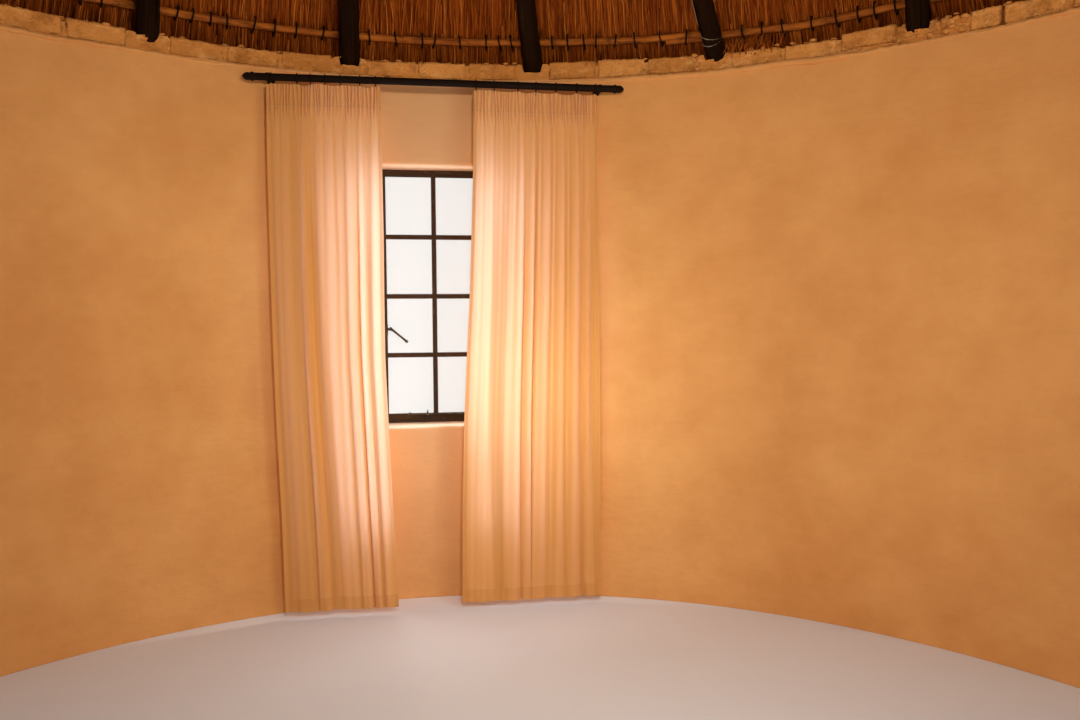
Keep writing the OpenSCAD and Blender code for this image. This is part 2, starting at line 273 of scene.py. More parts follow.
def oval(middle_r, middle_z, half_w, half_h, corners):
    """Section of an oval, as (distance from the hut's centre, height)"""
    return [(middle_r + half_w * math.cos(turn), middle_z + half_h * math.sin(turn))
            for turn in (math.tau * k / corners for k in range(corners))]


def spaced(corners, step):
    """Points along a closed outline through the corners, about a step apart"""
    points = []
    for start, end in zip(corners, corners[1:] + corners[:1]):
        run = Vector(end) - Vector(start)
        count = max(1, round(run.length / step))
        points += [Vector(start) + run * k / count for k in range(count)]
    return points


def outline(name, points, fill="NOTHING"):
    """A closed outline through the points, from a circle primitive with as many corners"""
    piece = added(name, bpy.ops.mesh.primitive_circle_add, vertices=len(points), fill_type=fill)
    for vertex, point in zip(piece.data.vertices, points):
        vertex.co = point
    return piece


def open_outline(name, points):
    """The same without the edge from the last point to the first"""
    piece = outline(name, points)
    ends = {0, len(points) - 1}
    with editing(piece):
        pick(piece, "EDGE", lambda edge: {v.index for v in edge.verts} == ends)
        bpy.ops.mesh.delete(type="EDGE")
    return piece


def spun(name, section, stretches):
    """A section of (distance from the centre, height) swept round the hut, through stretches
    of (from, to, step length at the inner face)"""
    start = stretches[0][0]
    piece = outline(name, [on_hut(start, r, z) for r, z in section], "NGON")
    with editing(piece):
        bpy.ops.mesh.select_all(action="SELECT")
        for low, high, step in stretches:
            turn = math.radians(high - low)
            steps = max(1, round(turn * INNER_R / step))
            bpy.ops.mesh.spin(steps=steps, angle=turn, center=HUB, axis=STRAIGHT_UP)
        outward()
    return piece


def drawn(name, section, run):
    """A flat section drawn out along a straight run"""
    piece = outline(name, section, "NGON")
    with editing(piece):
        bpy.ops.mesh.select_all(action="SELECT")
        bpy.ops.mesh.extrude_region_move(TRANSFORM_OT_translate={"value": run})
        outward()
    return piece


def turned(name, profile, foot, toward, sides=24):
    """A profile of (distance along, radius) turned about an axis, as on a lathe"""
    piece = open_outline(name, [(radius, 0, along) for along, radius in profile])
    with editing(piece):
        bpy.ops.mesh.select_all(action="SELECT")
        bpy.ops.mesh.spin(steps=sides, angle=math.tau, center=(0, 0, 0), axis=STRAIGHT_UP)
        outward(WELD)
    pointed(piece, foot, toward)
    return settle(piece)


def block(name, middle, size, rounding, turn=(0, 0, 0)):
    """A box with rounded edges"""
    box = added(name, bpy.ops.mesh.primitive_cube_add, size=1, location=middle, rotation=turn)
    box.scale = size
    settle(box)
    modified(box, "BEVEL", width=rounding, segments=3)
    return box


def modified(piece, kind, **settings):
    """Adds a modifier and applies it"""
    modifier = piece.modifiers.new(kind.lower(), kind)
    for name, value in settings.items():
        setattr(modifier, name, value)
    alone(piece)
    bpy.ops.object.modifier_apply(modifier=modifier.name)


def roughened(piece, passes, direction="NORMAL", group=""):
    """Pushes a surface in and out by cloud patterns, each given as (size of its lumps, depth)"""
    for size, depth in passes:
        texture = bpy.data.textures.new("clouds", "CLOUDS")
        texture.noise_scale = size
        texture.noise_depth = 2
        modified(piece, "DISPLACE", texture=texture, strength=depth, mid_level=0.5,
                 direction=direction, vertex_group=group)


def weighed(piece, name, weight_at):
    """Vertex group with the weight that a rule gives at each point"""
    group = piece.vertex_groups.new(name=name)
    for vertex in piece.data.vertices:
        group.add([vertex.index], weight_at(vertex.co), "REPLACE")


def valued(piece, name, values):
    """Gives each point of a piece a number, which its material reads"""
    stored = piece.data.attributes.new(name, "FLOAT", "POINT")
    stored.data.foreach_set("value", values)


def toned(piece, tone):
    """Gives a whole piece one tone"""
    valued(piece, "tone", [tone] * len(piece.data.vertices))


def repainted(node, material):
    """Gives a node of the source, which stays in view, its material"""
    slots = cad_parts[node].data.materials
    slots.clear()
    slots.append(material)


def faced(piece, material, rule):
    """Gives another material to the faces whose middles a rule picks"""
    piece.data.materials.append(material)
    for face in piece.data.polygons:
        if rule(face.center):
            face.material_index = 1


def wire_along(name, points, radius, pole, material):
    """Round wire laid on a pole along a path"""
    wire = open_outline(name, points)
    modified(wire, "SHRINKWRAP", target=pole, offset=radius * 0.8)
    bpy.ops.object.convert(target="CURVE")
    wire.data.bevel_depth = radius
    wire.data.bevel_resolution = 1
    wire.data.use_fill_caps = True
    bpy.ops.object.convert(target="MESH")
    return finished(wire, material, smooth=60)


def spread(name, master, places, tones, bows=None):
    """One mesh of many copies of a small shape: a matrix and a tone for each, and how far its
    middle bows"""
    points = np.array([v.co for v in master.data.vertices])
    count, each = len(places), len(points)
    moved = np.einsum("nij,vj->nvi", np.array(places)[:, :3, :3], points)
    moved += np.array(places)[:, None, :3, 3]
    if bows is not None:
        along = points[:, 2] - points[:, 2].min()
        along = along / along.max()
        moved += np.array(bows)[:, None, :] * (4 * along * (1 - along))[None, :, None]
    corners = np.array([c for face in master.data.polygons for c in face.vertices])
    sizes = np.array([len(face.vertices) for face in master.data.polygons])
    starts = np.concatenate([[0], np.cumsum(sizes)[:-1]])
    copies = np.arange(count)[:, None]
    mesh = bpy.data.meshes.new(name)
    mesh.vertices.add(count * each)
    mesh.vertices.foreach_set("co", moved.ravel())
    mesh.loops.add(count * len(corners))
    mesh.loops.foreach_set("vertex_index", (corners + each * copies).ravel())
    mesh.polygons.add(count * len(sizes))
    mesh.polygons.foreach_set("loop_start", (starts + len(corners) * copies).ravel())
    mesh.update(calc_edges=True)
    piece = bpy.data.objects.new(name, mesh)
    bpy.context.scene.collection.objects.link(piece)
    valued(piece, "tone", np.repeat(tones, each))
    return piece


def finished(piece, material, replaces=(), smooth=35):
    """Smooths a piece, gives it its material and fixes it to the hut"""
    alone(piece)
    bpy.ops.object.shade_smooth_by_angle(angle=math.radians(smooth))
    piece.data.materials.clear()
    piece.data.materials.append(material)
    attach(piece, "root")
    if replaces:
        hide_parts(*replaces)
    return piece


# Materials

class Wire:
    """A shader socket that takes part in sums"""

    def __init__(self, shading, socket):
        self.shading = shading
        self.socket = socket

    def __add__(self, other):
        return self.shading.sums("ADD", self, other)

    def __radd__(self, other):
        return self.shading.sums("ADD", other, self)

    def __sub__(self, other):
        return self.shading.sums("SUBTRACT", self, other)

    def __rsub__(self, other):
        return self.shading.sums("SUBTRACT", other, self)

    def __mul__(self, other):
        return self.shading.sums("MULTIPLY", self, other)


class Shading:
    """Short ways to add nodes to what shades a material or the world"""

    def __init__(self, owner, shader, output, **constants):
        owner.use_nodes = True
        self.tree = owner.node_tree
        self.shader = self.tree.nodes[shader]
        self.output = self.tree.nodes[output]
        self.paint(**constants)

    def node(self, kind, sockets, out=0, **settings):
        made = self.tree.nodes.new("ShaderNode" + kind)
        for setting, value in settings.items():
            setattr(made, setting, value)
        for socket, value in sockets.items():
            self.feed(made.inputs[socket], value)
        return Wire(self, made.outputs[out])

    def feed(self, socket, value):
        if isinstance(value, Wire):
            self.tree.links.new(value.socket, socket)
        else:
            socket.default_value = value

    def paint(self, **values):
        """Feeds the shader's sockets, named with _ for a space"""
        for socket, value in values.items():
            self.feed(self.shader.inputs[socket.replace("_", " ")], value)

    def blended(self, share, other):
        """Mixes another shader into the one it began with"""
        both = self.node("MixShader", {0: share, 1: Wire(self, self.shader.outputs[0]), 2: other})
        self.feed(self.output.inputs["Surface"], both)

    def sums(self, operation, first, second=0.0):
        return self.node("Math", {0: first, 1: second}, operation=operation)

    def rays(self):
        """1 for a ray from the camera, and 1 for a ray that came through glass"""
        return self.node("LightPath", {}), self.node("LightPath", {}, 6)


class Finish(Shading):
    """A material with a Principled shader, and the patterns that go into its sockets"""

    def __init__(self, name, **constants):
        self.material = bpy.data.materials.new(name)
        super().__init__(self.material, "Principled BSDF", "Material Output", **constants)

    def mixed(self, share, low, high):
        """Two colours mixed by a share"""
        low = low if isinstance(low, Wire) else (*low, 1)
        high = high if isinstance(high, Wire) else (*high, 1)
        return self.node("Mix", {0: share, 6: low, 7: high}, 2, data_type="RGBA")

    def ramp(self, share, stops):
        """Colour that runs through stops of (share, colour)"""
        ramped = self.node("ValToRGB", {0: share})
        elements = ramped.socket.node.color_ramp.elements
        while len(elements) < len(stops):
            elements.new(0.5)
        for element, (position, colour) in zip(elements, stops):
            element.position = position
            element.color = (*colour, 1)
        return ramped

    def between(self, value, low, high):
        """0 at low, 1 at high, and held there beyond"""
        return self.node("MapRange", {0: value, 1: low, 2: high})

    def place(self):
        return self.node("TexCoord", {}, 3)

    def parts(self, place):
        """A place's three numbers"""
        return [self.node("SeparateXYZ", {0: place}, k) for k in range(3)]

    def scaled(self, place, scale):
        return self.node("Mapping", {"Vector": place, "Scale": scale}, vector_type="POINT")

    def noise(self, place, scale, detail=2.0, rough=0.5):
        return self.node("TexNoise", {"Vector": place, "Scale": scale, "Detail": detail,
                                      "Roughness": rough})

    def stretched(self, place, scales, detail=2.0, rough=0.5):
        """Noise with its own scale along each axis"""
        return self.noise(self.scaled(place, scales), 1.0, detail, rough)

    def cells(self, place, scale, feature="F1", out=0):
        return self.node("TexVoronoi", {"Vector": place, "Scale": scale}, out, feature=feature)

    def stored(self, name):
        """A number that each point of the mesh carries"""
        return self.node("Attribute", {}, 2, attribute_name=name)

    def flat_map(self, name):
        return self.node("UVMap", {}, uv_map=name)

    def round_place(self):
        """Place as (distance round the inner face, distance from the centre, height)"""
        x, y, z = self.parts(self.place())
        y = y - HUB.y
        turn = self.sums("ARCTAN2", x, y)
        reach = self.sums("SQRT", x * x + y * y)
        return self.node("CombineXYZ", {0: turn * INNER_R, 1: reach, 2: z})

    def slope_place(self):
        """Place as (distance round, distance down the slope, distance off the slope)"""
        across, reach, height = self.parts(self.round_place())
        down = (reach - height) * math.cos(SLOPE)
        off = (reach + height) * math.cos(SLOPE)
        return self.node("CombineXYZ", {0: across, 1: down, 2: off})

    def bump(self, height, distance, strength=1.0):
        self.paint(Normal=self.node("Bump", {"Height": height, "Distance": distance,
                                             "Strength": strength}))


def limewash():
    """Hand-floated plaster under cream limewash: float marks, fine sand, faint clouds, painted
    daylight that makes it paler round the window inside and on the reveals, and splashed with earth along
    its foot outside"""
    wall = Finish("limewash", Specular_IOR_Level=0.15)
    place = wall.round_place()
    across, reach, height = wall.parts(place)
    cloud = wall.noise(place, 1.3, 3.0)
    patch = wall.noise(place, 5.0, 4.0, 0.6)
    marks = wall.stretched(place, (10, 10, 28), 3.0, 0.55)
    sand = wall.noise(place, 240.0)
    share = wall.between(cloud * 0.45 + patch * 0.45 + marks * 0.1, 0.36, 0.64)
    colour = wall.mixed(share, (0.69, 0.275, 0.072), (0.81, 0.360, 0.108))
    speck = wall.between(wall.noise(place, 90.0), 0.66, 0.74)
    colour = wall.mixed(speck * 0.15, colour, (0.42, 0.17, 0.05))
    outside = wall.between(reach, INNER_R + 0.15, INNER_R + 0.16)

    half_w, half_h = WINDOW_W / 2, (HEAD_Z - SILL_Z) / 2
    from_middle = wall.sums("ABSOLUTE", across)
    from_mid_height = wall.sums("ABSOLUTE", height - (SILL_Z + HEAD_Z) / 2)
    away = wall.sums("SQRT", from_middle * from_middle + from_mid_height * from_mid_height * 0.3)
    # Painted daylight: the inside face is painted paler and less saturated round the window
    painted_window_light = wall.between(away, 0.95, 0.30) * (1 - outside)
    colour = wall.mixed(painted_window_light * 0.8, colour, (0.63, 0.362, 0.178))
    # Painted daylight on the reveals: palest on the sill, least at the head
    reveal = (wall.between(from_middle, half_w + 0.02, half_w + 0.005)
              * wall.between(from_mid_height, half_h + 0.02, half_h + 0.005)
              * wall.between(reach, INNER_R + 0.002, INNER_R + 0.008))
    upper = wall.between(height, SILL_Z + 0.2, HEAD_Z)
    colour = wall.mixed(reveal * (0.95 - upper * 0.45), colour, (0.93, 0.770, 0.590))

    splash = wall.between(height + wall.noise(place, 5.0, 4.0) * 0.35, 0.50, 0.20)
    wall.paint(Base_Color=wall.mixed(splash * outside * 0.55, colour, (0.36, 0.13, 0.045)),
               Roughness=wall.between(patch, 0.2, 0.8) * 0.12 + 0.82)
    wall.bump(marks * 0.40 + patch * 0.45 + sand * 0.15, 0.008, 0.75)
    return wall.material


def cut_brickwork():
    """The wall's cut ends: brick courses in mortar between two coats of plaster"""
    cut = Finish("cut_brickwork", Specular_IOR_Level=0.2, Roughness=0.95)
    coat, edge = 0.022, 0.001
    reach, height = cut.parts(cut.round_place())[1:]
    across_wall = cut.node("CombineXYZ", {0: reach - (INNER_R + coat), 1: height})
    bricks = cut.node("TexBrick", {
        "Vector": across_wall, "Color1": (0.30, 0.10, 0.038, 1), "Color2": (0.40, 0.16, 0.065, 1),
        "Mortar": (0.42, 0.26, 0.13, 1), "Scale": 1.0, "Mortar Size": 0.005, "Mortar Smooth": 0.2,
        "Bias": 0.0, "Brick Width": 0.112, "Row Height": 0.085}, offset=0.5, squash=1.0)
    inner = cut.between(reach, INNER_R + coat + edge, INNER_R + coat)
    outer = cut.between(reach, OUTER_R - coat - edge, OUTER_R - coat)
    coats = cut.mixed(inner + outer, bricks, (0.56, 0.30, 0.13))
    grit = cut.noise(cut.place(), 90.0, 4.0, 0.65)
    cut.paint(Base_Color=cut.mixed(cut.between(grit, 0.5, 0.75) * 0.45, coats, (0.20, 0.10, 0.05)))
    cut.bump(grit, 0.006, 0.9)
    return cut.material


def limewashed_brick():
    """Rough stock brick and mortar brushed with limewash, darker along its edges with dirt and painted
    shade, and bare in spots
    """
    brick = Finish("limewashed_brick", Specular_IOR_Level=0.08, Roughness=0.95)
    place = brick.round_place()
    patch = brick.noise(place, 12.0, 4.0, 0.65)
    smear = brick.stretched(place, (16, 40, 30), 5.0, 0.65)
    pits = brick.cells(place, 95.0)
    grit = brick.noise(place, 130.0, 3.0, 0.6)
    shade = brick.stored("tone") * 0.6 + grit * 0.15 + patch * 0.25
    colour = brick.mixed(shade, (0.54, 0.178, 0.031), (0.86, 0.340, 0.078))
    worn = brick.between(patch * 0.8 + grit * 0.2, 0.48, 0.66)
    colour = brick.mixed(worn * 0.72, colour, (0.30, 0.085, 0.012))
    pale = brick.between(smear, 0.52, 0.70)
    colour = brick.mixed(pale * 0.55, colour, (0.90, 0.430, 0.130))
    # Along the arrises and in the mortar the colour darkens: part dirt, part painted shade of the joints
    ragged = (brick.noise(place, 40.0, 4.0, 0.65) - 0.5) * 1.6
    dirt_and_shade = brick.between(brick.stored("edge") + ragged, 0.45, 1.0)
    patchy = brick.between(brick.noise(place, 7.0, 3.0, 0.6), 0.40, 0.62)
    colour = brick.mixed(dirt_and_shade * (0.22 + patchy * 0.55), colour, (0.10, 0.028, 0.005))
    # Painted shade in the pits, which the bump sinks
    holes = brick.between(pits, 0.22, 0.05)
    brick.paint(Base_Color=brick.mixed(holes * 0.3, colour, (0.12, 0.036, 0.007)))
    raised = brick.between(pits, 0.0, 0.4)
    brick.bump(patch * 0.3 + smear * 0.3 + grit * 0.2 + raised * 0.2, 0.014)
    return brick.material


def smoked_pole():
    """Debarked pole, stained and smoked almost black, with grain, checks and a dull sheen"""
    pole = Finish("smoked_pole", Specular_IOR_Level=0.05)
    place = pole.flat_map("grain")
    grain = pole.stretched(place, (150, 5, 1), 4.0, 0.6)
    patch = pole.stretched(place, (22, 3.5, 1), 3.0)
    checks = pole.between(pole.stretched(place, (70, 1.6, 1)), 0.62, 0.70)
    colour = pole.mixed(pole.between(grain * 0.6 + patch * 0.4, 0.35, 0.68),
                        (0.006, 0.002, 0.0006), (0.022, 0.008, 0.002))
    colour = pole.mixed(pole.between(patch, 0.60, 0.78) * 0.6, colour, (0.065, 0.026, 0.009))
    # The checks are painted near black, as shade in the cracks, which the bump sinks
    pole.paint(Base_Color=pole.mixed(checks * 0.8, colour, (0.003, 0.0015, 0.001)),
               Roughness=0.6 + grain * 0.3)
    pole.bump(grain * 0.4 + patch * 0.4 - checks * 0.5, 0.004, 0.9)
    return pole.material


def sapling():
    """Peeled sapling, warm brown with darker knuckles and bits of bark"""
    lath = Finish("sapling", Specular_IOR_Level=0.15)
    place = lath.round_place()
    fibre = lath.stretched(place, (9, 190, 190), 3.0, 0.6)
    patch = lath.stretched(place, (7, 26, 26), 3.0)
    bark = lath.between(lath.stretched(place, (13, 40, 40), 4.0, 0.65), 0.56, 0.66)
    colour = lath.mixed(lath.between(fibre * 0.5 + patch * 0.5, 0.34, 0.66),
                        (0.150, 0.030, 0.003), (0.52, 0.135, 0.015))
    colour = lath.mixed(lath.stored("tone") * 0.7, colour, (0.075, 0.020, 0.004))
    lath.paint(Base_Color=lath.mixed(bark * 0.65, colour, (0.070, 0.024, 0.007)),
               Roughness=0.5 + fibre * 0.35)
    lath.bump(fibre * 0.5 + bark * 0.5, 0.003, 0.8)
    return lath.material


def dry_reed():
    """Dry reed stems, each its own shade from dark russet to straw"""
    reed = Finish("dry_reed", Specular_IOR_Level=0.08)
    streak = reed.stretched(reed.slope_place(), (300, 9, 300))
    shades = [(0.0, (0.080, 0.013, 0.0015)), (0.3, (0.225, 0.039, 0.003)),
              (0.65, (0.40, 0.082, 0.007)), (1.0, (0.66, 0.190, 0.024))]
    reed.paint(Base_Color=reed.ramp(reed.stored("tone") * 0.8 + streak * 0.2, shades),
               Roughness=0.6 + streak * 0.3)
    reed.bump(streak, 0.0015, 0.6)
    return reed.material


def packed_reed():
    """The bed of packed stems behind the loose ones"""
    bed = Finish("packed_reed", Specular_IOR_Level=0.1, Roughness=0.9)
    place = bed.slope_place()
    streak = bed.stretched(place, (300, 7, 300), 3.0, 0.6)
    clump = bed.stretched(place, (42, 4, 42))
    shades = [(0.0, (0.065, 0.009, 0.001)), (0.5, (0.220, 0.037, 0.003)), (1.0, (0.39, 0.078, 0.006))]
    bed.paint(Base_Color=bed.ramp(bed.between(streak * 0.7 + clump * 0.3, 0.32, 0.68), shades))
    bed.bump(streak * 0.75 + clump * 0.25, 0.010)
    return bed.material


def cut_butts():
    """Packed reed seen end on: each stem a pale ring, with shade painted dark into its hollow and into the
    gaps between stems
    """
    ends = Finish("cut_butts", Specular_IOR_Level=0.1, Roughness=0.95)
    place = ends.slope_place()
    stems_a_metre = 130.0
    from_middle = ends.cells(place, stems_a_metre)
    shade = ends.parts(ends.cells(place, stems_a_metre, out=1))[0]
    ring = ends.mixed(shade, (0.17, 0.050, 0.011), (0.55, 0.270, 0.085))
    # Painted shade in each stem's hollow and in the gaps between stems
    hollow = ends.between(from_middle, 0.16, 0.08)
    gap = ends.between(from_middle, 0.42, 0.55)
    dark = ends.between(hollow + gap, 0, 1)
    ends.paint(Base_Color=ends.mixed(dark, ring, (0.022, 0.007, 0.002)))
    ends.bump(1 - dark, 0.006)
    return ends.material


def tarred_twine():
    twine = Finish("tarred_twine", Specular_IOR_Level=0.1, Roughness=0.9)
    fibre = twine.noise(twine.place(), 900.0)
    twine.paint(Base_Color=twine.mixed(fibre, (0.006, 0.003, 0.001), (0.028, 0.012, 0.005)))
    twine.bump(fibre, 0.001, 0.8)
    return twine.material


def fence_wire():
    """Old galvanised wire, dull and browned"""
    wire = Finish("fence_wire", Specular_IOR_Level=0.4, Metallic=0.5, Roughness=0.55)
    stain = wire.noise(wire.place(), 70.0, 3.0)
    wire.paint(Base_Color=wire.mixed(stain, (0.30, 0.20, 0.11), (0.60, 0.48, 0.33)))
    return wire.material


def painted_steel():
    """Old dark paint on rolled steel, brushed on thick and rubbed lighter in places"""
    steel = Finish("painted_steel", Specular_IOR_Level=0.25)
    place = steel.place()
    patch = steel.noise(place, 26.0, 4.0, 0.6)
    brush = steel.stretched(place, (260, 260, 40))
    rubbed = steel.between(patch, 0.58, 0.72)
    colour = steel.mixed(patch, (0.024, 0.010, 0.003), (0.055, 0.025, 0.010))
    steel.paint(Base_Color=steel.mixed(rubbed * 0.5, colour, (0.14, 0.075, 0.038)),
                Roughness=0.40 + patch * 0.3)
    steel.bump(brush * 0.5 + patch * 0.5, 0.0012, 0.7)
    return steel.material


def worn_fittings():
    """Cast fittings, dark with handled spots that show the metal"""
    metal = Finish("worn_fittings", Specular_IOR_Level=0.5)
    place = metal.place()
    patch = metal.noise(place, 60.0, 4.0, 0.6)
    worn = metal.between(patch, 0.52, 0.66)
    metal.paint(Base_Color=metal.mixed(worn, (0.030, 0.017, 0.009), (0.20, 0.115, 0.055)),
                Metallic=worn * 0.8, Roughness=0.55 - worn * 0.2)
    metal.bump(patch, 0.001, 0.6)
    return metal.material


def black_iron():
    """Turned and blacked pole with a satin coat"""
    iron = Finish("black_iron", Specular_IOR_Level=0.10)
    place = iron.place()
    scratch = iron.stretched(place, (6, 320, 320), 3.0)
    patch = iron.noise(place, 18.0, 3.0)
    iron.paint(Base_Color=iron.mixed(scratch, (0.005, 0.002, 0.001), (0.017, 0.007, 0.003)),
               Roughness=0.45 + patch * 0.25)
    iron.bump(scratch, 0.0006, 0.5)
    return iron.material


def old_glass():
    """Thin drawn glass, faintly wavy, that lets nearly all of the light through"""
    glass = Finish("old_glass", Base_Color=(0.90, 0.93, 0.90, 1), Alpha=0.12, Roughness=0.03,
                   Specular_IOR_Level=0.25)
    glass.bump(glass.noise(glass.place(), 7.0, 1.0), 0.004, 0.25)
    return glass.material


def putty():
    """Glazing putty painted over with the frame, cracked here and there"""
    filler = Finish("putty", Specular_IOR_Level=0.3, Roughness=0.7)
    place = filler.place()
    patch = filler.noise(place, 40.0, 4.0, 0.65)
    crack = filler.between(filler.cells(place, 55.0, "DISTANCE_TO_EDGE"), 0.03, 0.0)
    colour = filler.mixed(patch, (0.045, 0.030, 0.022), (0.10, 0.07, 0.05))
    filler.paint(Base_Color=filler.mixed(crack * 0.6, colour, (0.30, 0.24, 0.17)))
    filler.bump(patch - crack, 0.002, 0.7)
    return filler.material


def linen():
    """Open-weave linen: threads, slubs both ways, and light that comes through where it is single; hems and
    tape are darker, and shade is painted into its folds
    """
    cloth = Finish("linen", Specular_IOR_Level=0.1, Roughness=0.95, Sheen_Weight=0.04,
                   Sheen_Roughness=0.5)
    threads_a_metre = 1100
    cut = cloth.flat_map("cut")
    across, down = cloth.parts(cut)[:2]
    weft = cloth.sums("SINE", down * (math.pi * threads_a_metre))
    warp = cloth.sums("SINE", across * (math.pi * threads_a_metre))
    slubs = cloth.stretched(cut, (14, 900, 1)) * 0.5 + cloth.stretched(cut, (900, 9, 1)) * 0.5
    uneven = cloth.between(slubs * 0.7 + cloth.noise(cut, 3.0) * 0.3, 0.35, 0.65)
    colour = cloth.mixed(uneven, (0.90, 0.395, 0.095), (0.97, 0.460, 0.128))

    hem = cloth.between(down, HEM_DEPTH + 0.001, HEM_DEPTH)
    tape_foot = CURTAIN_TOP - CURTAIN_FOOT - HEADING_DEPTH
    tape = cloth.between(down, tape_foot - 0.001, tape_foot)
    seam = cloth.between(down, tape_foot + 0.003, tape_foot + 0.001) * tape
    # Hems and tape are real double cloth; the stored fold number is painted shade, darker and less
    # see-through
    layers = hem * 0.5 + tape * 0.1 + cloth.stored("side_hem") * 0.5 + cloth.stored("painted_shade")
    double_cloth_and_shade = cloth.between(layers, 0, 1)
    colour = cloth.mixed(double_cloth_and_shade * 0.6, colour, (0.66, 0.255, 0.055))
    cloth.paint(Base_Color=cloth.mixed(seam * 0.45, colour, (0.42, 0.165, 0.045)))
    cloth.bump(weft * warp * 0.25 + slubs * 0.75, 0.0012, 0.5)
    through = cloth.node("BsdfTranslucent", {"Color": (0.94, 0.91, 0.87, 1)})
    cloth.blended(0.54 - double_cloth_and_shade * 0.26, through)
    return cloth.material


# Camera, light and floor

BACKDROP = (0.90, 0.89, 0.87)


def set_camera():
    """Where the photograph was taken from, 1.45 m above the ground"""
    place = Vector((-0.0932, -4.1459, 1.4466))
    down, roll, heading = 3.998, -0.219, 8.53
    view = bpy.data.cameras.new("view")
    view.lens = 27.5
    view.sensor_width = 36
    camera = bpy.data.objects.new("view", view)
    camera.location = place
    camera.rotation_euler = Euler((math.radians(90 - down), 0, math.radians(-heading)), "XYZ")
    camera.rotation_euler.rotate_axis("Z", math.radians(roll))
    bpy.context.scene.collection.objects.link(camera)
    bpy.context.scene.camera = camera


def area_lamp(name, place, aim, size, watts, colour=(1, 1, 1)):
    """A rectangular lamp. Small ones aren't mirrored, so none shows as a spot in the glass"""
    smallest_mirrored = 0.2
    light = bpy.data.lights.new(name, "AREA")
    light.shape = "RECTANGLE"
    light.size, light.size_y = size
    light.energy = watts
    light.color = colour
    lamp = bpy.data.objects.new(name, light)
    pointed(lamp, place, Vector(aim) - Vector(place), "-Z")
    lamp.visible_camera = False
    lamp.visible_glossy = max(size) > smallest_mirrored
    bpy.context.scene.collection.objects.link(lamp)


def set_world(strength):
    """Even light all round, and the backdrop's colour where the sky itself is seen"""
    world = bpy.data.worlds.new("pale_room")
    bpy.context.scene.world = world
    sky = Shading(world, "Background", "World Output", Color=(1, 1, 1, 1), Strength=strength)
    seen = sky.sums("MAXIMUM", *sky.rays())
    sky.blended(seen, sky.node("Background", {"Color": (*BACKDROP, 1)}))


def set_studio():
    """Soft room light, light that comes in at the window, and soft light on the outside"""
    bpy.context.scene.view_settings.view_transform = "Standard"
    set_world(0.20)
    # Light that comes back off pale things near the window is less warm
    bounced = (0.86, 1.03, 1.22)
    area_lamp("key", (0.12, -3.35, 2.22), (0.35, 0, 1.75), (0.14, 0.14), 34)
    area_lamp("low", (0.80, -2.30, 1.20), (0.40, 0, 1.30), (0.90, 0.90), 5)
    area_lamp("near", (0.10, -1.15, 1.15), (0.12, 0, 1.00), (0.12, 0.12), 2.1, bounced)
    area_lamp("near_right", (0.55, -0.95, 1.02), (0.35, -0.30, 1.02), (0.16, 0.16), 2.7, bounced)
    area_lamp("fill", (2.2, -4.8, 1.6), (0.0, -0.2, 1.4), (2.0, 2.0), 24)
    area_lamp("outside", (-3.5, 5.5, 4.0), (0.0, 0.2, 1.4), (2.5, 2.5), 190)
    area_lamp("outside_fill", (5.0, 3.0, 3.0), (0.5, 0, 1.4), (2.5, 2.5), 80)
    window_z = (SILL_Z + HEAD_Z) / 2
    area_lamp("daylight", (0, -0.05, window_z), (0, -1, window_z), (0.46, 1.15), 3.2)
    # Behind each curtain's inner edge
    beside_x, beside_y, beside_z, lit_x = 0.245, -0.17, window_z - 0.25, 0.38
    for side, watts in ((-1, 3.5), (1, 2.3)):
        area_lamp("daylight_beside", (side * beside_x, beside_y, beside_z),
                  (side * lit_x, POLE_Y, beside_z), (0.05, 1.65), watts)
    studio_floor()


def studio_floor():
    """Wide pale floor, which runs out into the background well behind the hut"""
    floor = added("studio_floor", bpy.ops.mesh.primitive_plane_add, size=120, location=(0, 0, -0.001))
    paint = Finish("studio_floor", Roughness=0.9, Base_Color=(0.80, 0.78, 0.75, 1))
    away = paint.node("VectorMath", {0: paint.place()}, 1, operation="LENGTH")
    from_camera, through_glass = paint.rays()
    seen = paint.between(from_camera + through_glass, 0, 1)
    paint.blended(paint.between(away, 3.5, 5.5) * seen,
                  paint.node("Emission", {"Color": (*BACKDROP, 1), "Strength": 1.0}))
    floor.data.materials.append(paint.material)


# Wall

def plaster_wall():
    """The wall's two faces, ends and top as one hand-floated skin, with the window cut through"""
    half = WINDOW_W / 2
    edge = math.degrees(math.asin(half / INNER_R))
    section = spaced([
        (INNER_R, 0), (INNER_R, SILL_Z), (INNER_R, HEAD_Z), (INNER_R, WALL_H),
        (OUTER_R - SHOULDER, WALL_H), (OUTER_R, WALL_H - SHOULDER), (OUTER_R, HEAD_Z),
        (OUTER_R, SILL_Z), (OUTER_R, 0)], PLASTER_STEP)
    wall = spun("plaster_wall", section, [
        (LEFT_END, -edge, PLASTER_STEP), (-edge, edge, PLASTER_STEP), (edge, RIGHT_END, PLASTER_STEP)])
    for vertex in wall.data.vertices:
        if abs(abs(angle_of(vertex.co)) - edge) < 0.001:
            reach = reach_of(vertex.co)
            vertex.co.x = math.copysign(half, vertex.co.x)
            vertex.co.y = HUB.y + math.sqrt(reach * reach - half * half)
    open_window(wall, half)
    plaster_groups(wall, half)
    roughened(wall, [(0.55, 0.016), (0.16, 0.007)], group="faces")
    roughened(wall, [(0.06, 0.0022)], group="reveal")
    return wall


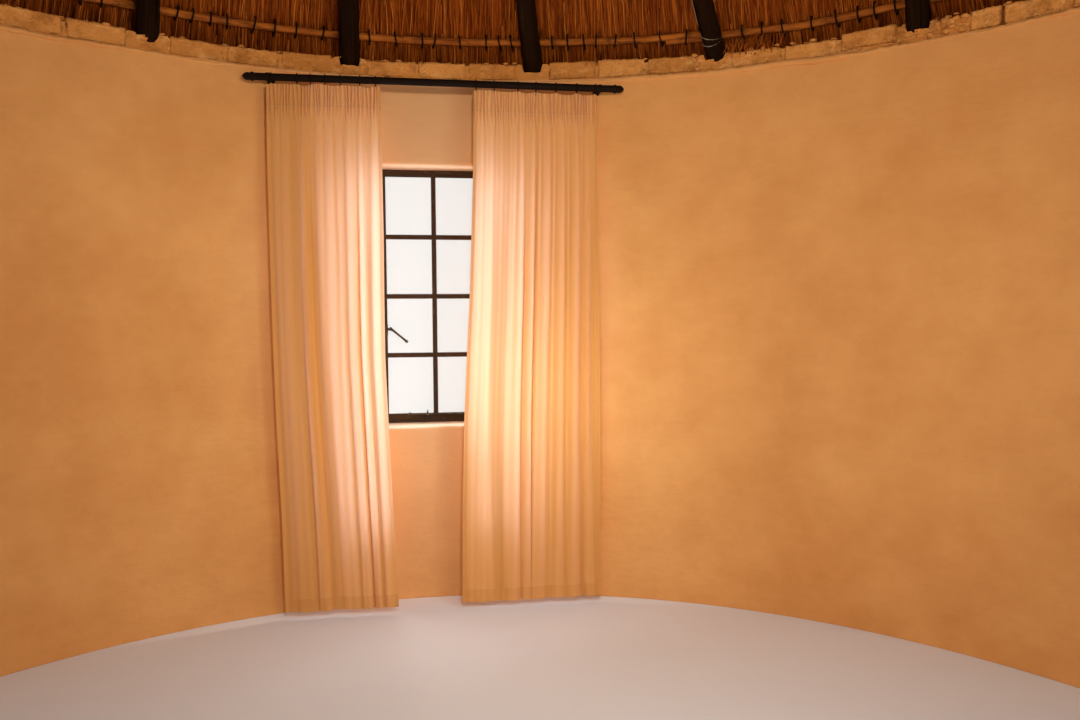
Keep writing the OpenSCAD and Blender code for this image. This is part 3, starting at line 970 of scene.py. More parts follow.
def open_window(wall, half):
    """Cuts the window through both faces, joins them with reveals and rounds the arrises"""
    slack = 0.001

    def in_opening(face):
        centre = face.calc_center_median()
        return abs(centre.x) < half and SILL_Z < centre.z < HEAD_Z and centre.y > -1

    def on_rim(vertex, reach):
        x, z = abs(vertex.co.x), vertex.co.z
        beside = abs(x - half) < slack and SILL_Z - slack < z < HEAD_Z + slack
        over = x < half + slack and min(abs(z - SILL_Z), abs(z - HEAD_Z)) < slack
        return (beside or over) and abs(reach_of(vertex.co) - reach) < slack

    with editing(wall):
        pick(wall, "FACE", in_opening)
        bpy.ops.mesh.delete(type="FACE")
        pick(wall, "EDGE", lambda edge: edge.is_boundary)
        bpy.ops.mesh.bridge_edge_loops(number_cuts=7, interpolation="LINEAR")
        for reach, radius, segments in ((INNER_R, 0.022, 5), (OUTER_R, 0.007, 2)):
            pick(wall, "EDGE", lambda edge: all(on_rim(v, reach) for v in edge.verts))
            bpy.ops.mesh.bevel(offset=radius, segments=segments, affect="EDGES", clamp_overlap=False)
        outward()
    slope_sill(wall, half)


def slope_sill(wall, half):
    """Lets the foot of the opening fall outwards from the steel frame, under the sill"""
    drop, fall, from_y = 0.002, 0.018 / 0.147, FRAME_Y + 0.01
    for vertex in wall.data.vertices:
        point = vertex.co
        in_foot = abs(point.z - SILL_Z) < 0.002 and abs(point.x) < half + 0.001
        if in_foot and point.y > from_y:
            point.z -= drop + fall * (point.y - from_y)


def plaster_groups(wall, half):
    """Which points the roughening moves: not the foot, the end cuts or the seat of the frame"""
    rise, run, skin, slack, in_wall_y = 0.05, 0.6, 0.03, 0.002, -0.5

    def in_opening(point, above):
        return abs(point.x) < half + slack and SILL_Z - above < point.z < HEAD_Z + above

    def faces(point):
        angle, reach = angle_of(point), reach_of(point)
        at_foot = min(1, point.z / rise)
        at_end = min(1, (angle - LEFT_END) / run, (RIGHT_END - angle) / run)
        on_face = reach < INNER_R + skin or reach > OUTER_R - skin or point.z > HEAD_Z + 0.1
        at_window = in_opening(point, slack) and point.y > in_wall_y
        return max(0, at_foot * at_end) if on_face and not at_window else 0

    def reveal(point):
        return 1 if in_opening(point, 0.01) and in_wall_y < point.y < FRAME_Y - 0.02 else 0

    weighed(wall, "faces", faces)
    weighed(wall, "reveal", reveal)


def plaster_lip():
    """The ragged upper edge of the inside coat, where it stops under the bricks"""
    section = oval(INNER_R + 0.003, WALL_H - 0.007, 0.008, 0.009, 8)
    lip = spun("plaster_lip", section, [(LEFT_END + END_GAP, RIGHT_END - END_GAP, 0.008)])
    # Between these angles the coat stands proud of the bricks
    proud_from, proud_to, fade_in, fade_out = 17, 41, 2, 1.5

    def proud(point):
        angle = angle_of(point)
        return max(0, min(1, (angle - proud_from) / fade_in, (proud_to - angle) / fade_out))

    weighed(lip, "proud", proud)
    roughened(lip, [(0.30, 0.016), (0.035, 0.011)], "Z")
    roughened(lip, [(0.018, 0.008)])
    modified(lip, "DISPLACE", strength=0.006, mid_level=0.0, vertex_group="proud")
    return lip


def outer_sill():
    """Rendered sill outside, falling outwards, with a rounded nose and a drip under it"""
    (_, back, foot), (_, nose, _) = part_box("outer_sill")
    face = OUTER_R + HUB.y
    fall, nose_h, drip_r, nose_round = 0.018, 0.028, 0.005, 0.007
    side_gap, slack = 0.001, 0.001
    low = SILL_Z - fall - nose_h
    groove = [(nose - 3 * drip_r + drip_r * math.cos(turn), low + drip_r * math.sin(turn))
              for turn in (math.pi * k / 4 for k in range(4, -1, -1))]
    profile = [(back, foot), (face, foot), (face, low)] + groove + [
        (nose, low), (nose, SILL_Z - fall), (back, SILL_Z)]
    left = -WINDOW_W / 2 + side_gap
    sill = drawn("outer_sill_render", [(left, y, z) for y, z in profile], (WINDOW_W - 2 * side_gap, 0, 0))

    def along_nose(edge):
        start, end = (vertex.co for vertex in edge.verts)
        return abs(start.y - nose) < slack and abs(end.y - nose) < slack and abs(start.z - end.z) < slack

    with editing(sill):
        pick(sill, "EDGE", along_nose)
        bpy.ops.mesh.bevel(offset=nose_round, segments=3, affect="EDGES")
    return sill


# Brick course

def rough_brick(name, middle, length, height, foot, rng, proud=0):
    """One stock brick at an angle round the wall, with worn arrises and rough faces"""
    shortest_cut, arris, worn = 0.03, 0.0055, 0.016
    brick = added(name, bpy.ops.mesh.primitive_cube_add, size=1)
    size = Vector((length, COURSE_D - 0.004, height))
    brick.scale = size
    settle(brick)
    with editing(brick):
        for axis, cuts in enumerate((29, 13, 10)):
            cut_across(brick, axis, shortest_cut, cuts)
    modified(brick, "BEVEL", width=arris, segments=2, limit_method="ANGLE")
    # How close each point is to an arris; the material darkens there with dirt and painted shade
    edges = []
    for vertex in brick.data.vertices:
        to_faces = sorted(size[axis] / 2 - abs(vertex.co[axis]) for axis in range(3))
        edges.append(max(0, 1 - to_faces[1] / worn))
    valued(brick, "edge", edges)
    toned(brick, rng.random())
    reach = COURSE_R + COURSE_D / 2 + rng.uniform(-0.001, 0.003) + proud
    brick.location = on_hut(middle, reach, foot + height / 2)
    brick.rotation_euler = (rng.uniform(-0.01, 0.01), rng.uniform(-0.014, 0.014),
                            -math.radians(middle + rng.uniform(-0.6, 0.6)))
    settle(brick)
    roughened(brick, [(0.11, 0.014), (0.035, 0.010), (0.014, 0.005)])
    return brick


def brick_bay(bay):
    """Bricks between two rafters. The last one of the fifth bay stands up out of line"""
    rng = random.Random(40 + bay)
    first = FIRST_RAFTER + (bay - 1) * RAFTER_PITCH
    lengths = [BRICK_L] * BRICKS_A_BAY
    along = (math.radians(RAFTER_PITCH) * COURSE_R - sum(lengths) - JOINT * (BRICKS_A_BAY - 1)) / 2
    if bay == BAYS:
        cut_down = BRICK_L - 0.008
        lengths = [HALF_BRICK, cut_down, cut_down]
        along = FOOT_GAP + RUBBLE_L + JOINT
    foot, height = WALL_H + 0.007, COURSE_H - 0.015
    bricks = []
    for k, length in enumerate(lengths):
        raised = 0.015 if bay == BAYS - 1 and k == BRICKS_A_BAY - 1 else 0
        middle = first + math.degrees((along + length / 2) / COURSE_R) + rng.uniform(-0.08, 0.08)
        size = length + rng.uniform(-0.006, 0.003), height + rng.uniform(-0.006, 0.006)
        bricks.append(rough_brick(f"brick_{bay}_{k}", middle, *size, foot + raised, rng, -raised * 0.5))
        along += length + JOINT
    for angle, length in end_bats(bay):
        bricks.append(rough_brick(f"bat_{bay}_{angle:.0f}", angle, length, COURSE_H - 0.017, foot, rng))
    return joined(f"bricks_{bay}", bricks)


def end_bats(bay):
    """The cut bricks that reach past the end rafters to the ends of the wall"""
    gap, end_gap = math.degrees(0.062 / COURSE_R), 0.1
    if bay == 1:
        low, high = LEFT_END + end_gap, FIRST_RAFTER - gap
    elif bay == BAYS:
        low, high = FIRST_RAFTER + BAYS * RAFTER_PITCH + gap, RIGHT_END - end_gap
    else:
        return []
    return [((low + high) / 2, math.radians(high - low) * COURSE_R)]


def rafter_seat(across):
    """Height of a rafter's underside over the inner edge of the course, at a distance across it"""
    half_w, half_h = RAFTER_D / 2, RAFTER_D / 2 / math.cos(SLOPE)
    middle = roof_z(LATH_FACE, COURSE_R) - half_h
    return middle - half_h * math.sqrt(max(0, 1 - (across / half_w) ** 2))


def course_mortar():
    """Mortar in the joints of the course, drawn up round the feet of the rafters"""
    low, high = WALL_H - 0.004, WALL_H + COURSE_H - 0.020
    near, far = COURSE_R + 0.0075, COURSE_R + COURSE_D - 0.01
    at_face, flush, deepest = near + 0.003, COURSE_R + 0.003, 0.020
    joint_half_w, joint_depth = 0.16, 0.06
    section = spaced([(near, low), (near, high), (far, high), (far, low)], 0.010)
    mortar = spun("course_mortar", section, [(LEFT_END + END_GAP, RIGHT_END - END_GAP, 0.010)])
    for vertex in mortar.data.vertices:
        angle = angle_of(vertex.co)
        k = round((angle - FIRST_RAFTER) / RAFTER_PITCH)
        across = math.radians(angle - FIRST_RAFTER - k * RAFTER_PITCH) * COURSE_R
        if abs(across) < FOOT_GAP and vertex.co.z > low + 0.01:
            beside = abs(across) > RAFTER_D / 2 + 0.002
            top = WALL_H + COURSE_H - 0.012 if beside else FOOT_ZS[k]
            vertex.co.z = low + (vertex.co.z - low) * (top - low) / (high - low)
            if reach_of(vertex.co) < at_face:
                pole_front = COURSE_R + rafter_seat(across) - vertex.co.z - 0.004
                front = flush if beside else min(flush, max(pole_front, flush - deepest))
                vertex.co += outwards(angle) * (front - near)
        if abs(angle - OPEN_JOINT) < joint_half_w and reach_of(vertex.co) < at_face:
            vertex.co += outwards(angle) * joint_depth
    weighed(mortar, "top", lambda point: 1 if point.z > low + 0.02 else 0)
    roughened(mortar, [(0.05, 0.012)], group="top")
    roughened(mortar, [(0.022, 0.009), (0.012, 0.004)])
    toned(mortar, 0.35)
    # A share of the bricks' darkening in the mortar: dirt, and painted shade of the recessed joints
    valued(mortar, "edge", [0.30] * len(mortar.data.vertices))
    return mortar


def stone_master():
    """A knobbly lump, a metre across before it is set in place"""
    stone = added("stone", bpy.ops.mesh.primitive_ico_sphere_add, subdivisions=2, radius=0.5)
    roughened(stone, [(0.7, 0.45)])
    return stone


def lump_place(rng, point, sizes):
    turn = Euler([rng.uniform(0, math.tau) for _ in range(3)]).to_matrix()
    place = (Matrix.Diagonal(sizes) @ turn).to_4x4()
    place.translation = point
    return place


def packing():
    """Bits of brick packed round the rafter feet, and mortar crumbs left along the top"""
    rng = random.Random(55)
    bits, more_bits, crumbs = 12, 46, 210
    master = stone_master()
    places = []
    for k in range(BAYS + 1):
        angle = FIRST_RAFTER + k * RAFTER_PITCH
        for bit in range(bits + (more_bits if k == BAYS - 1 else 0)):
            across = rng.uniform(0.004, 0.074) * rng.choice((-1, 1))
            if bit >= bits:
                across = rng.uniform(0.050, FOOT_GAP + RUBBLE_L)
            size = rng.uniform(0.016, 0.040)
            top = (FOOT_ZS[k] if abs(across) < RAFTER_D / 2 else WALL_H + COURSE_H) - size / 2
            point = on_hut(angle + math.degrees(across / COURSE_R), COURSE_R + rng.uniform(0.006, 0.020),
                           rng.uniform(WALL_H + 0.012, max(WALL_H + 0.014, top)))
            places.append(lump_place(rng, point, (size, size * 0.8, size * rng.uniform(0.5, 0.9))))
    course_top = WALL_H + COURSE_H - 0.006
    for _ in range(crumbs):
        angle = rng.uniform(LEFT_END + 0.5, RIGHT_END - 0.5)
        size = rng.uniform(0.010, 0.034)
        reach = COURSE_R + rng.uniform(0.004, 0.07)
        point = on_hut(angle, reach, course_top + rng.uniform(-0.004, 0.004))
        places.append(lump_place(rng, point, (size, size, size * rng.uniform(0.25, 0.55))))
    lumps = spread("packing", master, places, [rng.random() for _ in places])
    bpy.data.objects.remove(master)
    return lumps


# Roof timbers

def rafter_line(k):
    """The two ends of a rafter's middle line, with its diameters, run on past both cuts"""
    run_on = 0.1
    angle = FIRST_RAFTER + k * RAFTER_PITCH
    lean = math.tan(math.radians(RAFTER_LEANS[k]))
    ends = []
    for beyond, across in ((ROOF_TOP_R - INNER_R - run_on, RAFTER_D - RAFTER_TAPER / 2),
                           (RAFTER_END_R - INNER_R + run_on, RAFTER_D + RAFTER_TAPER / 2)):
        side, out = beyond * lean, INNER_R + beyond
        reach = math.hypot(side, out)
        height = roof_z(LATH_FACE, reach) - across / 2 / math.cos(SLOPE)
        place = HUB + along_round(angle) * side + outwards(angle) * out + STRAIGHT_UP * height
        ends.append((place, across))
    return angle, ends


def rafter(k):
    """Round pole, tapering and a little crooked, sawn off plumb at both ends"""
    angle, ((top, top_d), (butt, butt_d)) = rafter_line(k)
    run = butt - top
    pole = settle(added(f"rafter_pole_{k + 1}", bpy.ops.mesh.primitive_cylinder_add,
                        vertices=28, radius=0.5, depth=1, location=(0, 0, 0.5)))
    pole.data.uv_layers[0].name = "grain"
    with editing(pole):
        cut_across(pole, axis=2, least=0.5, cuts=70)
    for vertex in pole.data.vertices:
        width = top_d + (butt_d - top_d) * vertex.co.z
        vertex.co = Vector((vertex.co.x * width, vertex.co.y * width, vertex.co.z * run.length))
    for corner in pole.data.uv_layers["grain"].data:
        corner.uv = (corner.uv[0] * math.pi * RAFTER_D + k * 2.0, corner.uv[1] * run.length)
    pointed(pole, top, run)
    settle(pole)
    roughened(pole, [(0.55, 0.014)], "X")
    roughened(pole, [(0.60, 0.010)], "Z")
    roughened(pole, [(0.12, 0.006), (0.03, 0.0028)])
    with editing(pole):
        for reach, side in ((ROOF_TOP_R + 0.002, -1), (RAFTER_END_R - 0.002, 1)):
            bpy.ops.mesh.select_all(action="SELECT")
            bpy.ops.mesh.bisect(plane_co=HUB + outwards(angle) * reach, plane_no=outwards(angle) * side,
                                use_fill=True, clear_outer=True)
        outward()
    return pole


def lath_middle(k):
    """A lath's distance from the centre and its height"""
    r = LATH_RS[k]
    return r, roof_z(LATH_FACE, r) + LATH_D / 2 / math.cos(SLOPE)


def stray(k, angle):
    """How far up the slope a lath strays from its line"""
    if k == WALL_LATH:
        return float(np.interp(angle, STRAY_ANGLES, STRAYS))
    return sum(depth * math.sin(cycles * angle + shift * k)
               for depth, cycles, shift in ((0.007, 0.09, 1.7), (0.004, 0.23, 1)))


def foot_wire(k, pole):
    """Fence wire crossed round a rafter's foot and run up its left side"""
    angle, ((top, _), (butt, _)) = rafter_line(k)
    up = (top - butt).normalized()
    side = along_round(angle)
    over = up.cross(side)
    foot = butt + up * ((reach_of(butt) - INNER_R) / math.cos(SLOPE) + 0.01)
    half_turns, run_l = 5, 0.52

    def round_pole(along, turn):
        return foot + up * along + (side * math.cos(turn) + over * math.sin(turn)) * RAFTER_D / 2

    crossed = [round_pole(0.030 + 0.022 * math.sin(turn * 0.5), turn)
               for turn in np.linspace(0, half_turns * math.pi, 76)]
    run_up = [round_pole(0.010 + run_l * share, math.pi + 0.25 * math.sin(share * 5))
              for share in np.linspace(0.05, 1, 34)]
    wire_along("foot_wire", crossed + run_up, 0.0016, pole, fence_wire())


def lath_laps(k, rng):
    """Angles at which one sapling ends and the next begins"""
    if k == WALL_LATH:
        # Two of them overlap at the left, and two beside the fifth rafter
        return [LEFT_END, -34.0, 25.6, RIGHT_END]
    sapling_l = math.degrees(rng.uniform(2.0, 2.5) / LATH_RS[k])
    shortest_last = 0.3
    laps = [LEFT_END, LEFT_END + sapling_l * rng.uniform(0.4, 0.9)]
    while laps[-1] + sapling_l * (1 + shortest_last) < RIGHT_END:
        laps.append(laps[-1] + sapling_l)
    return laps + [RIGHT_END]


def sapling_length(k, start, end, rng):
    """One bent sapling, tapering, with knuckles where its twigs were trimmed"""
    r, z = lath_middle(k)
    radius, knuckle_half_l, lap = LATH_D / 2 - 0.0012, 0.015, math.degrees(0.11 / r)
    first = start if start == LEFT_END else start - lap
    last = end if end == RIGHT_END else end + lap
    pole = spun("sapling", oval(r, z, radius, radius, 10), [(first, last, 0.022 * INNER_R / r)])
    knuckles = []
    along = 0.0
    while along < math.radians(last - first) * r:
        along += rng.uniform(0.14, 0.40)
        knuckles.append((along, rng.uniform(0.06, 0.16)))
    tones = []
    for vertex in pole.data.vertices:
        angle = angle_of(vertex.co)
        here = math.radians(angle - first) * r
        swell = sum(size * math.exp(-((here - at) / knuckle_half_l) ** 2) for at, size in knuckles)
        thick = 0.98 - 0.14 * (angle - first) / (last - first) + 0.03 * math.sin(here * 2.3 + k)
        beside = max(0, 1 - (angle - first) / (3 * lap)) if start != LEFT_END else 0
        before = max(0, 1 - (last - angle) / (3 * lap)) if end != RIGHT_END else 0
        up = stray(k, angle) + 0.013 * before - 0.015 * beside
        centre = on_hut(angle, r, z)
        vertex.co = centre + (vertex.co - centre) * (thick + min(swell, 0.12)) - down_slope(angle) * up
        tones.append(min(1, swell * 7))
    valued(pole, "tone", tones)
    return pole


def lath(k):
    """Saplings bent round the rafters, each lapped beside the next"""
    rng = random.Random(70 + k)
    laps = lath_laps(k, rng)
    poles = [sapling_length(k, start, end, rng) for start, end in zip(laps, laps[1:])]
    pole = joined(f"sapling_lath_{k + 1}", poles)
    roughened(pole, [(0.30, 0.006)], "Z")
    roughened(pole, [(0.02, 0.0022)])
    return pole


def tie_master():
    """Two turns of twine, drawn out up the slope"""
    turns = [added("turn", bpy.ops.mesh.primitive_torus_add, major_radius=0.0205, minor_radius=0.0019,
                   major_segments=12, minor_segments=4, location=(offset, 0, 0),
                   rotation=(0, math.radians(90), 0)) for offset in (-0.0020, 0.0020)]
    return joined("tie", [settle(turn) for turn in turns])


def lath_ties(k, master):
    """Twine round a lath and the reed on it, every hand's breadth but not over a rafter"""
    rng = random.Random(90 + k)
    r, z = lath_middle(k)
    clear = math.degrees(0.085 / r)
    places = []
    angle = LEFT_END + 0.6
    while angle < RIGHT_END - 0.6:
        from_rafter = (angle - FIRST_RAFTER + RAFTER_PITCH / 2) % RAFTER_PITCH - RAFTER_PITCH / 2
        if abs(from_rafter) > clear:
            turn = Matrix((along_round(angle), down_slope(angle), off_slope(angle))).transposed()
            stretch = Matrix.Diagonal((1, rng.uniform(1.5, 2.0), 1.08))
            askew = Matrix.Rotation(rng.uniform(-0.20, 0.20), 3, "Z")
            place = (turn @ askew @ stretch).to_4x4()
            place.translation = on_hut(angle, r, z) - down_slope(angle) * stray(k, angle)
            places.append(place)
        angle += math.degrees(rng.uniform(0.055, 0.125) / r)
    return spread(f"lath_ties_{k + 1}", master, places, [rng.random() for _ in places])


# Thatch

def thatch_body(bay):
    """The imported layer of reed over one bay, with the steps of the courses outside"""
    inset, clear_of_laths = 0.010, 0.006

    def point(down, off):
        spot = in_thatch(0, down, off) - HUB
        return spot.y, spot.z

    corners = [point(0.004, clear_of_laths), point(EAVES_DOWN - inset, clear_of_laths)]
    for course in range(THATCH_COURSES, 0, -1):
        foot = COAT_TOP + course * COAT_STEP
        head = max(foot - COAT_STEP, COAT_TOP + 0.018)
        corners.append(point(foot - inset, THATCH_T - inset))
        corners.append(point(head - inset * (course > 1), THATCH_T - THATCH_BUTT - inset))
    low, high = bay_ends(bay)
    return spun(f"thatch_body_{bay}", spaced(corners, 0.06), [(low, high, 0.050)])


def is_cut_reed(point):
    """Whether a point is in the clipped eaves or in the plumb cut at the top"""
    down = (point - in_thatch(angle_of(point), 0, 0)).dot(down_slope(angle_of(point)))
    return down > EAVES_DOWN - 0.012 or reach_of(point) < ROOF_TOP_R + 0.009


def reed_master(sides=3, rings=1):
    """One stem, a metre long and a metre thick before it is set in place"""
    tip_share = 0.6
    reed = added("reed", bpy.ops.mesh.primitive_cylinder_add, vertices=sides, radius=0.5, depth=1)
    with editing(reed):
        if rings:
            cut_across(reed, axis=2, least=0.5, cuts=rings)
        pick(reed, "VERT", lambda vertex: vertex.co.z > 0.4)
        bpy.ops.transform.resize(value=(tip_share, tip_share, 1))
    return reed


def reed_place(start, run, width):
    """Matrix that sets a stem from its butt along a run"""
    turn = run.to_track_quat("Z", "Y").to_matrix() @ Matrix.Diagonal((width, width, run.length))
    place = turn.to_4x4()
    place.translation = start + run / 2
    return place


def shade(rng, middle, spread_out):
    """A stem's tone, drawn about a middle one and kept between 0 and 1"""
    return min(1, max(0, rng.gauss(middle, spread_out)))


def under_reeds(bay, master, per_square_metre=1300):
    """The stems that show from the room, bulging a little between the laths"""
    rng = random.Random(200 + bay)
    low, high = bay_ends(bay)
    area = math.radians(high - low) * (EAVES_R ** 2 - ROOF_TOP_R ** 2) / 2 / math.cos(SLOPE)
    end_gap, side_gap = 0.004, 0.05
    places, bows, tones = [], [], []
    for _ in range(int(area * per_square_metre)):
        r = math.sqrt(rng.uniform(ROOF_TOP_R ** 2, EAVES_R ** 2))
        angle = rng.uniform(low + side_gap, high - side_gap)
        length = rng.uniform(0.22, 0.60)
        half = length / 2 * math.cos(SLOPE)
        r = min(max(r, ROOF_TOP_R + end_gap + half), EAVES_R - end_gap - half)
        skew = inward(angle, rng.gauss(0, 0.040), length / 2, r)
        run = (along_round(angle) * skew - down_slope(angle)).normalized() * length
        middle = on_hut(angle, r, roof_z(THATCH_FACE, r)) + off_slope(angle) * rng.uniform(-0.005, 0.005)
        places.append(reed_place(middle - run / 2, run, rng.uniform(0.003, 0.0065)))
        bows.append(off_slope(angle) * rng.uniform(-0.006, 0.003) + along_round(angle) * rng.gauss(0, 0.006))
        tones.append(shade(rng, 0.50, 0.26))
    return spread(f"under_reeds_{bay}", master, places, tones, bows)


def inward(angle, skew, run, r):
    """A stem's sideways lean, turned round where it would reach past the end of the roof"""
    ends_at = angle + math.degrees(skew * run / r)
    return skew if LEFT_END + END_GAP < ends_at < RIGHT_END - END_GAP else -skew


def coat_reeds(bay, master):
    """The dressed coat outside, in courses whose butts stand over the course below"""
    rng = random.Random(300 + bay)
    low, high = bay_ends(bay)
    rise = THATCH_BUTT / COAT_STEP
    reed_pitch, layers, head_gap = 0.0095, (0.003, 0.010), 0.022
    places, tones = [], []
    for course in range(1, THATCH_COURSES + 1):
        foot = COAT_TOP + course * COAT_STEP
        reach = reach_of(in_thatch(0, foot, THATCH_T))
        count = int(math.radians(high - low) * reach / reed_pitch)
        for depth, k in ((depth, k) for depth in layers for k in range(count)):
            angle = low + (high - low) * (k + rng.random()) / count
            back = rng.uniform(0.001, 0.024)
            length = rng.uniform(0.22, 0.27)
            if course == 1:
                length = COAT_STEP - back - head_gap
            skew = inward(angle, rng.gauss(0, 0.045), length, reach)
            butt = in_thatch(angle, foot - back, THATCH_T - depth - rise * back)
            way = (along_round(angle) * skew - down_slope(angle) - off_slope(angle) * rise).normalized()
            places.append(reed_place(butt, way * length, rng.uniform(0.0055, 0.0105)))
            tones.append(shade(rng, 0.48, 0.22))
    return spread(f"coat_reeds_{bay}", master, places, tones)


def cut_reeds(bay, master):
    """Butts that stand proud in the clipped eaves and in the plumb cut at the top"""
    rng = random.Random(400 + bay)
    low, high = bay_ends(bay)
    at_eaves, at_top = 620, 300
    places, tones = [], []
    for k in range(at_eaves + at_top):
        angle = rng.uniform(low + 0.1, high - 0.1)
        if k < at_eaves:
            up, way = rng.uniform(0.004, THATCH_T - 0.012), -down_slope(angle)
            butt = in_thatch(angle, EAVES_DOWN - rng.uniform(0.002, 0.010), up)
        else:
            up, way = rng.uniform(0.004, THATCH_T / math.cos(SLOPE) - 0.04), down_slope(angle)
            foot = roof_z(THATCH_FACE, ROOF_TOP_R)
            butt = on_hut(angle, ROOF_TOP_R + rng.uniform(0.001, 0.008), foot + up)
        run = (way + along_round(angle) * rng.gauss(0, 0.03)) * rng.uniform(0.04, 0.06)
        places.append(reed_place(butt, run, rng.uniform(0.006, 0.010)))
        tones.append(rng.random())
    return spread(f"cut_reeds_{bay}", master, places, tones)


def loose_tips(master):
    """Tips that have slipped past the lath and hang in front of the bricks beside the fifth rafter"""
    rng = random.Random(31)
    count, leftmost, rightmost, thickest = 90, 28.6, 34.6, 30.5
    places, bows, tones = [], [], []
    for _ in range(count):
        angle = rng.triangular(leftmost, rightmost, thickest)
        foot = on_hut(angle, INNER_R + rng.uniform(-0.002, 0.008), WALL_H + rng.uniform(0.050, 0.110))
        behind_lath = INNER_R + rng.uniform(0.058, 0.068)
        head = on_hut(angle + rng.gauss(0, 0.35), behind_lath, roof_z(THATCH_FACE, behind_lath) + 0.002)
        places.append(reed_place(foot, head - foot, rng.uniform(0.0022, 0.0042)))
        bows.append(outwards(angle) * rng.uniform(-0.003, 0.004) + along_round(angle) * rng.gauss(0, 0.004))
        tones.append(shade(rng, 0.62, 0.22))
    return spread("loose_tips", master, places, tones, bows)


# Window

def glazing_bars():
    """T bars, one upright and three level, with their flanges towards the room"""
    flange_w, flange_t, web_t, web_d, arris, step_back = 0.019, 0.0035, 0.004, 0.021, 0.0007, 0.0002
    front = FRAME_Y + 0.0052
    section = [(-flange_w / 2, 0), (flange_w / 2, 0), (flange_w / 2, flange_t), (web_t / 2, flange_t),
               (web_t / 2, web_d), (-web_t / 2, web_d), (-web_t / 2, flange_t), (-flange_w / 2, flange_t)]
    left, right = GLASS_LOW.x, GLASS_HIGH.x
    low, high = GLASS_LOW.z + RAIL_MORE, GLASS_HIGH.z
    upright = [(across, front + deep, low) for across, deep in section]
    bars = [drawn("upright", upright, (0, 0, high - low))]
    for z in bar_heights():
        level = [(left, front + deep + step_back, z + across) for across, deep in section]
        bars.append(drawn("level", level, (right - left, 0, 0)))
    bars = joined("glazing_bars", bars)
    modified(bars, "BEVEL", width=arris, segments=2, limit_method="ANGLE")
    return bars


def bar_heights():
    """Heights of the three level bars, four equal panes apart"""
    rail_w = 0.034
    low, high = SILL_Z + rail_w + RAIL_MORE, HEAD_Z - rail_w
    return [low + (high - low) * k / 4 for k in (1, 2, 3)]


def pane_rooms():
    """The eight (left, right, low, high) spaces between the bars"""
    to_stile = WINDOW_W / 2 - 0.019
    edges_x = [-to_stile, 0, to_stile]
    edges_z = [GLASS_LOW.z + RAIL_MORE] + bar_heights() + [GLASS_HIGH.z]
    return [(left, right, low, high) for left, right in zip(edges_x, edges_x[1:])
            for low, high in zip(edges_z, edges_z[1:])]


def panes():
    """Eight panes of old glass, each at its own slight tilt"""
    rng = random.Random(17)
    tilt, gap, glass_t = 0.003, 0.005, 0.0024
    middle_y = (GLASS_LOW.y + GLASS_HIGH.y) / 2
    made = []
    for left, right, low, high in pane_rooms():
        pane = added("pane", bpy.ops.mesh.primitive_cube_add, size=1,
                     location=((left + right) / 2, middle_y, (low + high) / 2),
                     rotation=(rng.uniform(-tilt, tilt), 0, rng.uniform(-tilt, tilt)))
        pane.scale = (right - left - gap, glass_t, high - low - gap)
        made.append(settle(pane))
    glass = joined("window_panes", made)
    modified(glass, "BEVEL", width=0.0004, segments=1)
    return glass


def putty_fillets():
    """Sloping putty outside, mitred round every pane"""
    width, deep, gap = 0.009, 0.008, 0.003
    back = GLASS_HIGH.y - 0.0005
    made = []
    for left, right, low, high in pane_rooms():
        # A square metre's ring first, drawn in or out to the pane
        ring = outline("putty", [(1 - inset, back + out, 1 - inset)
                                 for inset, out in ((0, 0), (0, deep), (width, 0))])
        with editing(ring):
            bpy.ops.mesh.select_all(action="SELECT")
            bpy.ops.mesh.spin(steps=4, angle=math.tau, center=(0, 0, 0), axis=(0, 1, 0))
            outward(WELD)
        half_w, half_h = (right - left) / 2 - gap, (high - low) / 2 - gap
        for vertex in ring.data.vertices:
            vertex.co.x = math.copysign(half_w - 1 + abs(vertex.co.x), vertex.co.x)
            vertex.co.z = math.copysign(half_h - 1 + abs(vertex.co.z), vertex.co.z)
        ring.location = ((left + right) / 2, 0, (low + high) / 2)
        made.append(settle(ring))
    return joined("putty_fillets", made)


def lever_handle():
    """Fastener: plate with two screws, boss, drooping lever with a ball end, and the tongue"""
    pivot = Vector((0.014 + 0.012 - WINDOW_W / 2, FRAME_Y - 0.001, SILL_Z + 0.464))
    into_room = (0, -1, 0)
    screw = [(0, 0.0034), (0.0010, 0.0034), (0.0018, 0.0020), (0.0020, 0)]
    boss = [(0, 0.010), (0.003, 0.0098), (0.005, 0.0074), (0.012, 0.0068), (0.018, 0.0075),
            (0.0235, 0.0070), (0.025, 0.005), (0.0255, 0)]
    joint = [(0, 0), (0.001, 0.0068), (0.006, 0.0076), (0.011, 0.0066), (0.012, 0)]
    lever = [(0, 0), (0.001, 0.0056), (0.010, 0.0062), (0.030, 0.0054), (0.060, 0.0050), (0.085, 0.0052),
             (0.093, 0.0056), (0.096, 0.0048), (0.098, 0.0066), (0.103, 0.0074), (0.108, 0.0062), (0.111, 0)]
    droop = math.radians(40)
    way = Vector((math.cos(droop), 0, -math.sin(droop)))
    elbow = pivot + Vector((0.024, -0.013, 0.0065))

    parts = [block("plate", pivot + Vector((0, 0.003, 0)), (0.020, 0.0055, 0.056), 0.0022)]
    for side in (-1, 1):
        parts.append(turned("screw", screw, pivot + Vector((0, 0.0004, 0.020 * side)), into_room, 12))
    parts.append(turned("boss", boss, pivot + Vector((0, 0.001, 0)), into_room, 20))
    parts.append(block("link", pivot + Vector((0.014, -0.010, 0.003)), (0.034, 0.0075, 0.0125), 0.0030,
                       (0, math.radians(6), 0)))
    parts.append(turned("elbow", joint, elbow + Vector((0, 0.006, 0)), into_room, 18))
    parts.append(turned("lever", lever, elbow - way * 0.003, way, 16))
    parts.append(block("tongue", pivot + Vector((-0.009, -0.0035, -0.004)), (0.030, 0.0050, 0.0065),
                       0.0018))
    return joined("lever_handle", parts)


